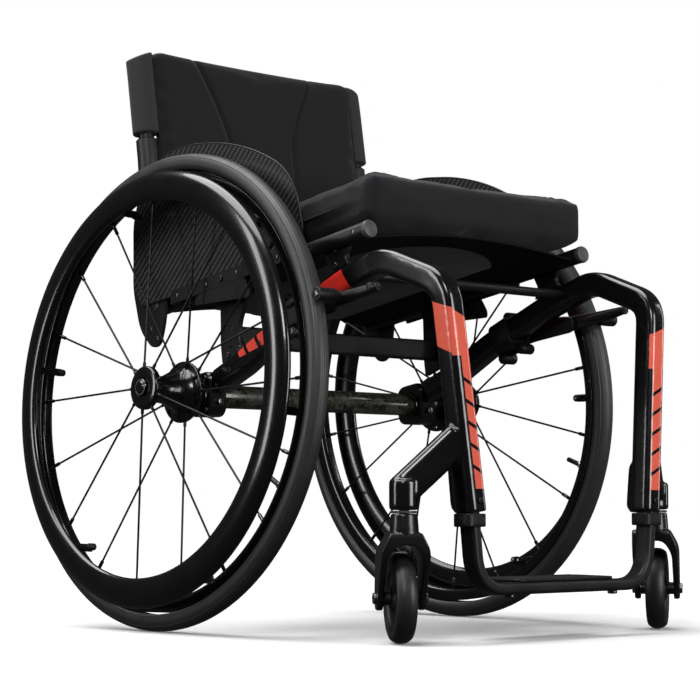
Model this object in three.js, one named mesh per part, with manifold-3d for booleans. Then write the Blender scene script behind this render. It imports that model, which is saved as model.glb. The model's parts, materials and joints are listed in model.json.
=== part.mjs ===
// A rigid-frame manual wheelchair. Millimetres, +Z up; the rider faces -Y and the rider's left is +X.
// Everything is placed from the point on the floor under the middle of the rear axle, and the whole
// chair is then moved so that the origin is the middle of its footprint.

import * as THREE from "three";
import { mergeVertices } from "three/addons/utils/BufferGeometryUtils.js";
import Module from "manifold-3d";

// ---- driving dimensions ----

const GAP = 0.35;

const WHEEL_RADIUS = 300;
const TYRE_RADIUS = 13.5;
const HALF_TRACK = 249;
const CAMBER = THREE.MathUtils.degToRad(3.3);
const AXLE_HEIGHT = 299.5;
const RING_STEPS = 36;

const FRONT_REACH = 454.2;
const CHAIR_Y = (FRONT_REACH - WHEEL_RADIUS) / 2;

const RIM_INNER = 262;
const RIM_OUTER = 277.4;
const SPOKE_COUNT = 18;
const SPOKE_START = 101;
const SPOKE_RADIUS = 1.5;
const OUTER_FLANGE = { offset: 33, radius: 27.5 };
const INNER_FLANGE = { offset: -26, radius: 39.5 };
const HANDRIM = { offset: 33.5, middle: 254.5, halfWidth: 19, halfDepth: 8.5, lean: 9 };
const HANDRIM_BOLTS = 6;
const HANDRIM_BOLT_START = 52;
const AXLE_RADIUS = 6.2;
const WHEEL_TURN = { left: -7.5, right: 0 };

const CAMBER_TUBE_Z = 294.5;
const CAMBER_TUBE_RADIUS = 15;
const CAMBER_TUBE_HALF = 203;

const FRAME_X = 185;
const FRAME_WIDE = 27;
const FRAME_DEEP = 31;
const DOWN_TUBE_FOOT = { x: 151.5, y: -438, z: 147.3 };
const SPLAY = 0.108;
const CASTER_X = 218;
const CASTER_Y = -398.5;
const CASTER_HOUSING = { low: 150, high: 184, radius: 17 };

const CASTER_RADIUS = 51;
const CASTER_TRAIL = 25;
const CASTER_TURN = { left: -55, right: -33 };
const FORK_HALF = 28;
const FORK_LEG = 7;

const RAIL_X = 187;
const RAIL_RADIUS = 10.5;
const RAIL_FRONT = { y: -311.5, z: 479.1 };
const RAIL_REAR = { y: 101, z: 412.2 };

const POST_X = 187.5;
const POST_RADIUS = 10.5;
const SLEEVE_RADIUS = 18.3;
const BACK_HALF = 177;
const BACK_PIVOT = { y: 85, z: 414.8 };
const GUARD_INSIDE = 205.6;
const GUARD_THICK = 2;

const REAR_BAR = { y: -43, z: 368, deep: 12, tall: 28, half: 184 };
const CUSHION_HALF = 186;
const CUSHION_THICK = 66;

const FOOT_LEG = { x: 145.2, wide: 14, deep: 24, low: 60.7, bend: 44 };
const FOOT_TRAVEL = { down: 15, up: 18 };
const COLLAR = { low: 131, high: 147 };

const BRAKE_PIVOT = { x: 219, y: -262, z: 392 };

// ---- materials ----

function finish(color, roughness, metalness) {
  return new THREE.MeshStandardMaterial({ color, roughness, metalness });
}

const gloss = finish(0x0b0b0d, 0.18, 0.2);
const satin = finish(0x2b2c2f, 0.45, 0.4);
const steel = finish(0x9a9ca0, 0.3, 1);
const rubber = finish(0x232325, 0.85, 0);
const carbon = finish(0x26282b, 0.3, 0.1);
const forged = finish(0x35362e, 0.3, 0.2);
const cloth = finish(0x16161a, 0.95, 0);
const plastic = finish(0x1a1a1c, 0.5, 0);

// ---- solids ----

const wasm = await Module();
wasm.setup();

function toSolid(geometry) {
  const bare = geometry.clone();
  bare.deleteAttribute("normal");
  bare.deleteAttribute("uv");
  const merged = mergeVertices(bare, 1e-4);
  const corners = merged.index.array;
  const kept = [];
  for (let i = 0; i < corners.length; i += 3) {
    const [a, b, c] = corners.slice(i, i + 3);
    if (a !== b && b !== c && c !== a) {
      kept.push(a, b, c);
    }
  }
  return new wasm.Manifold(new wasm.Mesh({
    numProp: 3,
    vertProperties: new Float32Array(merged.attributes.position.array),
    triVerts: new Uint32Array(kept),
  }));
}

function toGeometry(solid) {
  const mesh = solid.getMesh();
  const geometry = new THREE.BufferGeometry();
  geometry.setAttribute("position", new THREE.BufferAttribute(new Float32Array(mesh.vertProperties), 3));
  geometry.setIndex(new THREE.BufferAttribute(new Uint32Array(mesh.triVerts), 1));
  geometry.computeVertexNormals();
  return geometry;
}

function join(...pieces) {
  return toGeometry(pieces.map(toSolid).reduce((whole, piece) => whole.add(piece)));
}

function cut(piece, ...tools) {
  return toGeometry(tools.map(toSolid).reduce((rest, tool) => rest.subtract(tool), toSolid(piece)));
}

// The same piece on the other side of the chair: x is negated and each triangle is turned back outwards.
function mirrored(geometry) {
  const flipped = geometry.index ? geometry.toNonIndexed() : geometry.clone();
  flipped.deleteAttribute("uv");
  flipped.scale(-1, 1, 1);
  const place = flipped.attributes.position;
  const keep = new THREE.Vector3();
  const swap = new THREE.Vector3();
  for (let i = 0; i < place.count; i += 3) {
    keep.fromBufferAttribute(place, i + 1);
    swap.fromBufferAttribute(place, i + 2);
    place.setXYZ(i + 1, swap.x, swap.y, swap.z);
    place.setXYZ(i + 2, keep.x, keep.y, keep.z);
  }
  flipped.computeVertexNormals();
  return flipped;
}

// A turned piece with its axis along X. The profile is a list of [distance along X, radius].
function turned(profile, steps = 16) {
  const points = profile.map(([along, radius]) => new THREE.Vector2(radius, along));
  return new THREE.LatheGeometry(points, steps).rotateZ(-Math.PI / 2);
}

function rod(x0, x1, radius, steps = 12) {
  return turned([[x0, 0], [x0, radius], [x1, radius], [x1, 0]], steps);
}

function upright(z0, z1, radius, steps = 12) {
  return rod(z0, z1, radius, steps).rotateY(-Math.PI / 2);
}

function rodBetween(start, end, radius, steps = 12) {
  const along = end.clone().sub(start);
  const length = along.length();
  const turn = new THREE.Quaternion().setFromUnitVectors(new THREE.Vector3(1, 0, 0), along.normalize());
  return rod(0, length, radius, steps).applyQuaternion(turn).translate(start.x, start.y, start.z);
}

function block(x0, x1, y0, y1, z0, z1) {
  const box = new THREE.BoxGeometry(x1 - x0, y1 - y0, z1 - z0);
  return box.translate((x0 + x1) / 2, (y0 + y1) / 2, (z0 + z1) / 2);
}

// A closed outline with every corner rounded by its own or the shared radius.
function outline(corners, shared = 0) {
  const shape = new THREE.Shape();
  const count = corners.length;
  corners.forEach(([x, y, own], i) => {
    const here = new THREE.Vector2(x, y);
    const before = new THREE.Vector2(...corners[(i + count - 1) % count]);
    const after = new THREE.Vector2(...corners[(i + 1) % count]);
    const radius = Math.min(own ?? shared, here.distanceTo(before) * 0.48, here.distanceTo(after) * 0.48);
    const start = before.clone().sub(here).setLength(radius).add(here);
    const end = after.clone().sub(here).setLength(radius).add(here);
    if (i === 0) {
      shape.moveTo(start.x, start.y);
    } else {
      shape.lineTo(start.x, start.y);
    }
    if (radius > 0) {
      shape.quadraticCurveTo(x, y, end.x, end.y);
    }
  });
  shape.closePath();
  return shape;
}

function section(wide, deep, radius) {
  const x = wide / 2;
  const y = deep / 2;
  return outline([[-x, -y], [x, -y], [x, y], [-x, y]], radius);
}

// A flat plate that stands in the Y-Z plane: its outline is given as [y, z] and it runs from x0 to x1.
function sidePlate(corners, radius, x0, x1, curveSegments = 3) {
  const plate = new THREE.ExtrudeGeometry(outline(corners, radius), {
    depth: x1 - x0,
    bevelEnabled: false,
    curveSegments,
  });
  const stand = new THREE.Matrix4().makeBasis(
    new THREE.Vector3(0, 1, 0),
    new THREE.Vector3(0, 0, 1),
    new THREE.Vector3(1, 0, 0),
  );
  return plate.applyMatrix4(stand).translate(x0, 0, 0);
}

// A path that is followed exactly at its own stations.
class Stations extends THREE.Curve {
  constructor(points) {
    super();
    this.points = points;
  }

  getPoint(t, target = new THREE.Vector3()) {
    return target.copy(this.points[Math.round(t * (this.points.length - 1))]);
  }

  getSpacedPoints() {
    return this.points;
  }

  getTangentAt(t, target = new THREE.Vector3()) {
    const last = this.points.length - 1;
    const i = Math.round(t * last);
    const ahead = this.points[Math.min(i + 1, last)].clone().sub(this.points[Math.min(i, last - 1)]);
    const behind = this.points[Math.max(i, 1)].clone().sub(this.points[Math.max(i - 1, 0)]);
    return target.copy(ahead.normalize().add(behind.normalize())).normalize();
  }
}

// Straight runs joined by bends. Each corner is [x, y, z, bend radius, steps in the bend].
function bentPath(corners) {
  const at = corners.map(([x, y, z]) => new THREE.Vector3(x, y, z));
  const points = [at[0]];
  for (let i = 1; i < corners.length - 1; i += 1) {
    const back = at[i - 1].clone().sub(at[i]).normalize();
    const on = at[i + 1].clone().sub(at[i]).normalize();
    const radius = corners[i][3];
    const reach = radius / Math.tan(back.angleTo(on) / 2);
    const start = at[i].clone().addScaledVector(back, reach);
    const end = at[i].clone().addScaledVector(on, reach);
    points.push(...new THREE.QuadraticBezierCurve3(start, at[i], end).getPoints(corners[i][4] ?? 4));
  }
  points.push(at.at(-1));
  return points;
}

function tubeAlong(points, shape, curveSegments = 2) {
  const path = new Stations(points);
  return new THREE.ExtrudeGeometry(shape, { steps: points.length - 1, extrudePath: path, curveSegments });
}

// ---- building up the chair ----

const chair = new THREE.Group();
chair.position.y = CHAIR_Y;

function addMesh(parent, name, geometry, material) {
  const mesh = new THREE.Mesh(geometry, material);
  mesh.name = name;
  parent.add(mesh);
}

// Adds the left piece as it is given and the right one as its mirror image.
function addPair(name, geometry, material) {
  addMesh(chair, `left_${name}`, geometry, material);
  addMesh(chair, `right_${name}`, mirrored(geometry), material);
}

function railZ(y) {
  const rise = (RAIL_FRONT.z - RAIL_REAR.z) / (RAIL_FRONT.y - RAIL_REAR.y);
  return RAIL_REAR.z + rise * (y - RAIL_REAR.y);
}

// ---- rear wheels: each is built about its own hub with +X pointing outboard ----

function polar(radius, degrees, x) {
  const angle = THREE.MathUtils.degToRad(degrees);
  return new THREE.Vector3(x, -radius * Math.cos(angle), radius * Math.sin(angle));
}

function tyre() {
  const middle = WHEEL_RADIUS - TYRE_RADIUS;
  const profile = [];
  for (let degrees = -126; degrees <= 126; degrees += 42) {
    const angle = THREE.MathUtils.degToRad(degrees);
    profile.push([TYRE_RADIUS * Math.sin(angle), middle + TYRE_RADIUS * Math.cos(angle)]);
  }
  profile.push(profile[0]);
  return turned(profile, RING_STEPS);
}

function rim() {
  const lip = RIM_INNER + 6;
  return turned([
    [-7, RIM_INNER], [-9.5, lip], [-9.5, RIM_OUTER], [9.5, RIM_OUTER], [9.5, lip], [7, RIM_INNER],
    [-7, RIM_INNER],
  ], RING_STEPS);
}

// The spokes stand on a nipple band that lies inside the rim; they go to the two flanges in turn.
function spokes() {
  const outer = RIM_INNER - GAP;
  const inner = outer - 2.4;
  const band = turned([[-4, inner], [-4, outer], [4, outer], [4, inner], [-4, inner]], RING_STEPS);
  const bars = [];
  for (let i = 0; i < SPOKE_COUNT; i += 1) {
    const flange = i % 2 ? INNER_FLANGE : OUTER_FLANGE;
    const degrees = SPOKE_START + i * 360 / SPOKE_COUNT;
    const start = polar(flange.radius + GAP, degrees, flange.offset);
    bars.push(rodBetween(start, polar(inner + 1, degrees, 0), SPOKE_RADIUS, 4));
  }
  return join(band, ...bars);
}

function hub() {
  const bore = AXLE_RADIUS + GAP;
  const body = turned([
    [-28.5, bore], [-28.5, INNER_FLANGE.radius], [-23.5, INNER_FLANGE.radius], [-16, 26], [12, 17],
    [24, 19], [29, OUTER_FLANGE.radius], [38, OUTER_FLANGE.radius - 2], [38, 11.5], [29.5, 11.5],
    [29.5, bore], [-28.5, bore],
  ], 16);
  const holes = [];
  for (let i = 0; i < 9; i += 1) {
    const at = polar(32.5, 30 + i * 40, 0);
    holes.push(rod(-40, -20, 3.5, 6).translate(0, at.y, at.z));
  }
  return cut(body, ...holes);
}

// The handrim is a wide oval hoop whose inner edge leans outboard. Its feet reach in under the rim.
function handrim() {
  const profile = [];
  const lean = THREE.MathUtils.degToRad(HANDRIM.lean);
  for (let i = 0; i <= 8; i += 1) {
    const angle = -i * Math.PI / 4;
    const along = HANDRIM.halfDepth * Math.cos(angle);
    const across = HANDRIM.halfWidth * Math.sin(angle);
    profile.push([
      HANDRIM.offset + along * Math.cos(lean) - across * Math.sin(lean),
      HANDRIM.middle + across * Math.cos(lean) + along * Math.sin(lean),
    ]);
  }
  const pieces = [turned(profile, RING_STEPS)];
  for (let i = 0; i < HANDRIM_BOLTS; i += 1) {
    const degrees = HANDRIM_BOLT_START + i * 360 / HANDRIM_BOLTS;
    const foot = block(-8, HANDRIM.offset, -5, 5, 250, 255).rotateX(THREE.MathUtils.degToRad(90 - degrees));
    pieces.push(foot);
  }
  return join(...pieces);
}

// The cambered axle pin: a stepped plug in the end of the camber tube, and the pin that the hub turns on.
function axlePin() {
  const inboard = CAMBER_TUBE_HALF - HALF_TRACK;
  return turned([
    [inboard - 40, 0], [inboard - 40, 10.8], [inboard - 14, 10.8], [inboard - 14, AXLE_RADIUS],
    [29.2, AXLE_RADIUS], [29.2, 0],
  ], 12);
}

function axleButton() {
  return turned([[33.4, 0], [33.4, 10.8], [41, 10.8], [43.5, 8], [43.5, 0]], 16);
}

function addRearWheel(name, side) {
  const wheel = new THREE.Group();
  wheel.position.set(side * HALF_TRACK, 0, AXLE_HEIGHT);
  wheel.rotation.y = -side * CAMBER;
  wheel.rotateX(THREE.MathUtils.degToRad(WHEEL_TURN[name]));
  chair.add(wheel);
  const facing = (geometry) => (side > 0 ? geometry : mirrored(geometry));
  addMesh(wheel, `${name}_tyre`, facing(tyre()), rubber);
  addMesh(wheel, `${name}_rim`, facing(rim()), gloss);
  addMesh(wheel, `${name}_spokes`, facing(spokes()), gloss);
  addMesh(wheel, `${name}_hub`, facing(hub()), gloss);
  addMesh(wheel, `${name}_handrim`, facing(handrim()), gloss);
  addMesh(wheel, `${name}_axle`, facing(axlePin()), steel);
  addMesh(wheel, `${name}_axle_button`, facing(axleButton()), steel);
}

addRearWheel("left", 1);
addRearWheel("right", -1);

// ---- camber tube and its clamps ----

function camberTube() {
  const bore = CAMBER_TUBE_RADIUS - 1.2;
  const half = CAMBER_TUBE_HALF;
  const shell = turned([
    [-half, bore], [-half, CAMBER_TUBE_RADIUS], [half, CAMBER_TUBE_RADIUS], [half, bore], [-half, bore],
  ], 16);
  return shell.translate(0, 0, CAMBER_TUBE_Z);
}

function axleClamp() {
  const z = CAMBER_TUBE_Z;
  const body = sidePlate([[-25, z - 27], [22, z - 27], [25, z + 24], [-25, z + 32]], 12, 171, 199);
  return cut(body, rod(160, 210, CAMBER_TUBE_RADIUS + GAP, 16).translate(0, 0, z));
}

addMesh(chair, "camber_tube", camberTube(), forged);
addPair("axle_clamp", axleClamp(), gloss);

// ---- main frame: one bent tube a side, with the arm that carries the caster housing ----

// The room that the footrest leg needs in the down tube, through its whole height adjustment.
function legRoom() {
  const wide = FOOT_LEG.wide / 2 + GAP + FOOT_TRAVEL.up * SPLAY / 2 + 1;
  const deep = FOOT_LEG.deep / 2 + GAP;
  const foot = [FOOT_LEG.x + (COLLAR.low - FOOT_LEG.low) * SPLAY, COLLAR.low - 20];
  const head = [FOOT_LEG.x + (300 - FOOT_LEG.low) * SPLAY, 300];
  const points = [
    new THREE.Vector3(foot[0] - 20 * SPLAY, DOWN_TUBE_FOOT.y, foot[1]),
    new THREE.Vector3(head[0], DOWN_TUBE_FOOT.y, head[1]),
  ];
  return tubeAlong(points, section(deep * 2, wide * 2, 1), 1);
}

function mainFrame() {
  const path = bentPath([
    [FRAME_X, -30.5, 312.4],
    [FRAME_X, -80, 333, 80, 3],
    [FRAME_X, -150, 371, 220, 2],
    [FRAME_X, -250, 413, 300, 2],
    [FRAME_X, -332, 441, 60, 4],
    [179.4, -427, 405, 38, 5],
    [DOWN_TUBE_FOOT.x, DOWN_TUBE_FOOT.y, DOWN_TUBE_FOOT.z],
  ]);
  const tube = tubeAlong(path, section(FRAME_WIDE, FRAME_DEEP, 7), 1);
  const armStart = new THREE.Vector3(164.8, -432.7, 231.4);
  const armEnd = new THREE.Vector3(CASTER_X + 1.8, CASTER_Y + 2.2, 170.6);
  const arm = tubeAlong([armStart, armEnd], section(24, 37, 7), 1);
  const housing = upright(CASTER_HOUSING.low, CASTER_HOUSING.high, CASTER_HOUSING.radius, 16);
  const bore = upright(CASTER_HOUSING.low - 5, CASTER_HOUSING.high - 12, 6.6, 12);
  const heel = tubeAlong([154, 205].map((z) => {
    const x = DOWN_TUBE_FOOT.x + (z - DOWN_TUBE_FOOT.z) * SPLAY;
    return new THREE.Vector3(x, DOWN_TUBE_FOOT.y + 16, z);
  }), section(15, 23, 3), 1);
  const whole = join(tube, arm, heel, housing.translate(CASTER_X, CASTER_Y, 0));
  return cut(whole, bore.translate(CASTER_X, CASTER_Y, 0), legRoom());
}

function collar() {
  const x = FOOT_LEG.x + (COLLAR.high - FOOT_LEG.low) * SPLAY - 0.8;
  const y = DOWN_TUBE_FOOT.y;
  const ring = tubeAlong([
    new THREE.Vector3(x, y, COLLAR.low),
    new THREE.Vector3(x, y, COLLAR.high - GAP - 1.6),
  ], section(31, 28, 6));
  return cut(ring, legRoom());
}

addPair("main_frame", mainFrame(), gloss);
addPair("footrest_collar", collar(), satin);

// ---- footrest ----

function footrestTube() {
  const top = 200;
  const left = bentPath([
    [FOOT_LEG.x + (top - FOOT_LEG.low) * SPLAY, DOWN_TUBE_FOOT.y, top],
    [FOOT_LEG.x, DOWN_TUBE_FOOT.y, FOOT_LEG.low, FOOT_LEG.bend, 5],
    [0, DOWN_TUBE_FOOT.y, FOOT_LEG.low],
  ]);
  const right = left.slice(0, -1).map((point) => new THREE.Vector3(-point.x, point.y, point.z)).reverse();
  return tubeAlong([...left, ...right], section(FOOT_LEG.deep, FOOT_LEG.wide, 4));
}

function footplate() {
  const top = FOOT_LEG.low + FOOT_LEG.wide / 2;
  const plate = new THREE.ExtrudeGeometry(outline([[-84, -448], [84, -448], [96, -372], [-96, -372]], 12), {
    depth: 4,
    bevelEnabled: false,
    curveSegments: 3,
  });
  return plate.translate(0, 0, top + GAP);
}

addMesh(chair, "footrest_tube", footrestTube(), satin);
addMesh(chair, "footplate", footplate(), satin);

// ---- casters: each is built about its stem, on the floor, with the wheel trailing towards +Y ----

function casterFork() {
  const side = [
    [-17, 124], [17, 124], [30, 104, 10], [CASTER_TRAIL + 13, 51, 7], [CASTER_TRAIL + 9, 38, 5],
    [CASTER_TRAIL - 9, 38, 5], [CASTER_TRAIL - 14, 53, 7], [-16, 96, 12],
  ];
  const body = sidePlate(side, 5, -FORK_HALF, FORK_HALF);
  const slot = FORK_HALF - FORK_LEG;
  const room = block(-slot, slot, -40, 80, 0, 108);
  const bolt = rod(-40, 40, 4.4, 10).translate(0, CASTER_TRAIL, CASTER_RADIUS);
  const collarAndStem = upright(115, CASTER_HOUSING.low - 0.6, 16.5, 16);
  const stem = upright(140, CASTER_HOUSING.high - 13, 6, 12);
  return join(cut(body, room, bolt), collarAndStem, stem);
}

function casterBolt() {
  const head = FORK_HALF + GAP;
  return turned([
    [-head - 3, 0], [-head - 3, 6.5], [-head, 6.5], [-head, 4], [head, 4], [head, 6.5], [head + 3, 6.5],
    [head + 3, 0],
  ], 10).translate(0, CASTER_TRAIL, CASTER_RADIUS);
}

function casterWheel() {
  const outer = 37.6;
  const ends = FORK_HALF - FORK_LEG - 0.5;
  return turned([
    [-ends, 4.4], [-ends, 7.5], [-11, 7.5], [-9, outer - 5], [-11, outer], [11, outer], [9, outer - 5],
    [11, 7.5], [ends, 7.5], [ends, 4.4], [-ends, 4.4],
  ], 16).translate(0, CASTER_TRAIL, CASTER_RADIUS);
}

function casterTyre() {
  const inner = 38;
  const outer = CASTER_RADIUS;
  return turned([
    [-11, inner], [-12.5, 42], [-4, outer], [4, outer], [12.5, 42], [11, inner], [-11, inner],
  ], 24).translate(0, CASTER_TRAIL, CASTER_RADIUS);
}

function addCaster(name, side) {
  const caster = new THREE.Group();
  caster.position.set(side * CASTER_X, CASTER_Y, 0);
  caster.rotation.z = THREE.MathUtils.degToRad(CASTER_TURN[name]);
  chair.add(caster);
  addMesh(caster, `${name}_caster_fork`, casterFork(), gloss);
  addMesh(caster, `${name}_caster_bolt`, casterBolt(), steel);
  addMesh(caster, `${name}_caster_wheel`, casterWheel(), plastic);
  addMesh(caster, `${name}_caster_tyre`, casterTyre(), rubber);
}

addCaster("left", 1);
addCaster("right", -1);

// ---- seat: rails, sling, cushion, and the brackets and cross tubes that carry them ----

function seatRail() {
  const start = new THREE.Vector3(RAIL_X, RAIL_REAR.y, RAIL_REAR.z);
  return rodBetween(start, new THREE.Vector3(RAIL_X, RAIL_FRONT.y, RAIL_FRONT.z), RAIL_RADIUS, 12);
}

// A slab that lies along the rails: its side outline is the rail line, moved up by low and by high.
function alongRails(halfWidth, front, rear, low, high, corner) {
  const side = [
    [front, railZ(front) + low], [front, railZ(front) + high], [rear, railZ(rear) + high],
    [rear, railZ(rear) + low],
  ];
  return sidePlate(side, corner, -halfWidth, halfWidth, 2);
}

function seatSling() {
  const half = RAIL_X - RAIL_RADIUS - 1.5;
  return alongRails(half, -300, 88, -12, 6, 1);
}

function seatCushion() {
  const low = RAIL_RADIUS + 1;
  return alongRails(CUSHION_HALF, -309, 102, low, low + CUSHION_THICK, 12);
}

function rearSeatBracket() {
  const rail = railZ(-50) - RAIL_RADIUS - GAP;
  const { z } = REAR_BAR;
  const plate = sidePlate([
    [-19, rail - 5.2, 2], [-83, rail + 5.2, 2], [-62, z, 10], [-74, 350.4, 2], [-28, 332.9, 2], [-24, z, 10],
  ], 3, 176, 183);
  return cut(plate, rearCrossBar(GAP));
}

function frontSeatBracket() {
  const under = railZ(-250) - RAIL_RADIUS - GAP;
  return sidePlate([
    [-228, under - 3.6, 2], [-272, under + 3.5, 2], [-266, 450, 4], [-272, 440.9, 2], [-230, 424.9, 2],
    [-236, 440, 4],
  ], 2, 180, 188);
}

// The rear cross bar is a flat band; each rear bracket has a slot for it.
function rearCrossBar(grow) {
  const { y, z, deep, tall, half } = REAR_BAR;
  const a = deep / 2 + grow;
  const b = tall / 2 + grow;
  return sidePlate([[y - a, z - b], [y + a, z - b], [y + a, z + b], [y - a, z + b]], 4, -half, half);
}

function crossTube(y, z, radius, half) {
  return rod(-half, half, radius, 14).translate(0, y, z);
}

const betweenFrames = FRAME_X - FRAME_WIDE / 2 - GAP;
addPair("seat_rail", seatRail(), satin);
addMesh(chair, "seat_sling", seatSling(), cloth);
addMesh(chair, "seat_cushion", seatCushion(), cloth);
addPair("rear_seat_bracket", rearSeatBracket(), satin);
addPair("front_seat_bracket", frontSeatBracket(), satin);
addMesh(chair, "rear_cross_tube", rearCrossBar(0), satin);
addMesh(chair, "front_cross_tube", crossTube(-284, 427, 6, betweenFrames), satin);

// ---- side guards ----

function sideGuard() {
  const low = (y) => railZ(y) - 4;
  return sidePlate([
    [110, low(60), 4], [128, 440, 20], [130, 540, 30], [84, 606, 30], [20, 619, 40], [-62, 611, 40],
    [-122, 594, 40], [-172, 570, 40], [-199, 540, 25], [-213, 486, 8], [-200, low(-200), 6],
  ], 10, GUARD_INSIDE, GUARD_INSIDE + GUARD_THICK);
}

function guardBracket() {
  const outside = GUARD_INSIDE + GUARD_THICK + GAP;
  const strip = sidePlate([
    [44, railZ(44) - 9], [44, railZ(44) + 9], [-176, railZ(-176) + 9], [-176, railZ(-176) - 9],
  ], 4, outside, outside + 3);
  const studs = [-60, -150].map((y) => {
    return rod(RAIL_X + RAIL_RADIUS + GAP, outside + 1, 4, 10).translate(0, y, railZ(y));
  });
  return join(strip, ...studs);
}

function guardHoles() {
  return [-60, -150].map((y) => rod(200, 215, 4 + GAP, 10).translate(0, y, railZ(y)));
}

addPair("side_guard", cut(sideGuard(), ...guardHoles()), carbon);
addPair("guard_bracket", guardBracket(), satin);

// ---- folding backrest: it turns about the rear ends of the seat rails ----

const POST_FOOT = { y: 122.5, z: 442 };
const POST_BEND = { y: 123, z: 606 };
const POST_TOP = { y: 145.9, z: 748 };

// How far back the leaning upper half of the backrest is, at a height.
function backLine(z) {
  return POST_BEND.y + (POST_TOP.y - POST_BEND.y) * (z - POST_BEND.z) / (POST_TOP.z - POST_BEND.z);
}

function backPost() {
  const path = bentPath([
    [POST_X, POST_FOOT.y, POST_FOOT.z],
    [POST_X, POST_BEND.y, POST_BEND.z, 160, 3],
    [POST_X, POST_TOP.y, POST_TOP.z],
  ]);
  return tubeAlong(path, section(POST_RADIUS * 2, POST_RADIUS * 2, POST_RADIUS * 0.9));
}

// A leaf-shaped plate outside the rail, with a boss that reaches in to hold the foot of the post.
function backBracket() {
  const { y, z } = BACK_PIVOT;
  const leaf = sidePlate([
    [60, 424, 8], [64, 392, 14], [74, 362, 10], [92, 360, 10], [118, 384, 18], [134, 440, 14], [134, 510, 5],
    [112, 510, 5], [108, 448, 14],
  ], 6, 200.2, 204.4);
  const pin = rod(RAIL_X + RAIL_RADIUS + GAP, 201, 6, 10).translate(0, y, z);
  const boss = block(178, 201, 112, 133, 425, 441.5);
  return join(leaf, pin, boss);
}

function postPad() {
  const place = (z) => new THREE.Vector3(POST_X, backLine(z), z);
  const room = rodBetween(place(640), place(POST_TOP.z + 3), POST_RADIUS + 2.2, 12);
  return cut(rodBetween(place(648), place(757), SLEEVE_RADIUS, 12), room);
}

// The pad stands a little in front of the posts, and each of its edges is hollowed for its post.
function backUpholstery() {
  const pad = sidePlate([
    [104, 462, 4], [123, 462, 4], [124, 604, 20], [149.5, 767, 6], [131, 769, 6], [104.5, 606, 20],
  ], 5, -BACK_HALF, BACK_HALF);
  const foot = new THREE.Vector3(POST_X, POST_FOOT.y, POST_FOOT.z);
  const bend = new THREE.Vector3(POST_X, POST_BEND.y, POST_BEND.z);
  const top = new THREE.Vector3(POST_X, backLine(780), 780);
  const radius = SLEEVE_RADIUS + GAP;
  const rooms = [rodBetween(foot, bend, radius, 12), rodBetween(bend, top, radius, 12)];
  return cut(pad, ...rooms, ...rooms.map(mirrored));
}

addPair("back_bracket", backBracket(), satin);
addPair("back_post", backPost(), satin);
addPair("post_pad", postPad(), cloth);
addMesh(chair, "back_upholstery", backUpholstery(), cloth);
const betweenBosses = 178 - GAP;
addMesh(chair, "back_crossbar", crossTube(122.5, 433, 8, betweenBosses), satin);

// ---- wheel locks ----

function brakeBracket() {
  const { x, y, z } = BRAKE_PIVOT;
  const clamp = sidePlate([[-206, 412], [-168, 396], [-160, 352], [-198, 368]], 5, 199, 208);
  const plate = sidePlate([
    [-165, 362, 6], [-200, 405, 8], [y - 12, z + 10, 10], [y - 12, z - 10, 10], [-200, 372, 10],
  ], 6, 205, 211);
  const pin = rod(208, x + 6, 5, 10).translate(0, y, z);
  return join(clamp, plate, pin);
}

function brakeLever() {
  const { x, y, z } = BRAKE_PIVOT;
  const plate = sidePlate([
    [y + 12, z - 11, 8], [y + 12, z + 10, 8], [y - 35, z + 13, 5], [y - 94, z + 18, 5], [y - 94, z + 8, 5],
    [y - 35, z - 3, 5],
  ], 6, 212, 217);
  const knob = rod(214, 226, 5, 12).translate(0, y - 86, z + 13);
  const shoePin = rod(214, 262, 4, 10).translate(0, y - 35, z + 6);
  return cut(join(plate, knob, shoePin), rod(200, 230, 5 + GAP, 10).translate(0, y, z));
}

function brakeShoe() {
  const { y, z } = BRAKE_PIVOT;
  const sleeve = turned([[231, 4 + GAP], [231, 8], [260, 8], [260, 4 + GAP], [231, 4 + GAP]], 12);
  return sleeve.translate(0, y - 35, z + 6);
}

addPair("brake_bracket", brakeBracket(), satin);
addPair("brake_lever", brakeLever(), satin);
addPair("brake_shoe", brakeShoe(), satin);

const wheelchair = new THREE.Group();
wheelchair.add(chair);

export default wheelchair;
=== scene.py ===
import json
import math

import bmesh
import bpy
import numpy as np
from mathutils import Matrix, Vector


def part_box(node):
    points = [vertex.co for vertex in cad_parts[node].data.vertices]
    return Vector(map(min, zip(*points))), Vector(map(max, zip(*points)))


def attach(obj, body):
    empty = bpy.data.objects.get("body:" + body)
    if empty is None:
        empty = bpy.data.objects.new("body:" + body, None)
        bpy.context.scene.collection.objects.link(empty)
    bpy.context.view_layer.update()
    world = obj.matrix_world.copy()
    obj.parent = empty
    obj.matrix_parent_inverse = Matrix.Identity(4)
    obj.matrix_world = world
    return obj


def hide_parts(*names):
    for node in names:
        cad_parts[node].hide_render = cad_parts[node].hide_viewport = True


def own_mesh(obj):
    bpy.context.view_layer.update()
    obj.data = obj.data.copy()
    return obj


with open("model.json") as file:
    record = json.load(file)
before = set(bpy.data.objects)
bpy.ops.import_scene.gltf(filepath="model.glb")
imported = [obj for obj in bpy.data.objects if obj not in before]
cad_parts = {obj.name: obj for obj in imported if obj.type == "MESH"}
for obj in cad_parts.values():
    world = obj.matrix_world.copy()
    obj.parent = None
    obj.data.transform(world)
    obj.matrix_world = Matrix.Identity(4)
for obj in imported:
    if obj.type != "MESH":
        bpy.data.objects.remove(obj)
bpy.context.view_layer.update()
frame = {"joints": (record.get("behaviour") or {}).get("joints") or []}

# Sizes in this script are millimetres about the floor point under the middle of the rear axle,
# and they become metres in the row frame when a piece is made.
JOINTS = {joint["name"]: joint for joint in frame["joints"]}
SPIN = JOINTS["left_wheel_spin"]
AXLE_X, AXLE_Y, AXLE_Z = (number * 1000 for number in SPIN["pos_m"])
CAMBER = math.atan2(SPIN["axis"][2], SPIN["axis"][0])
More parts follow.
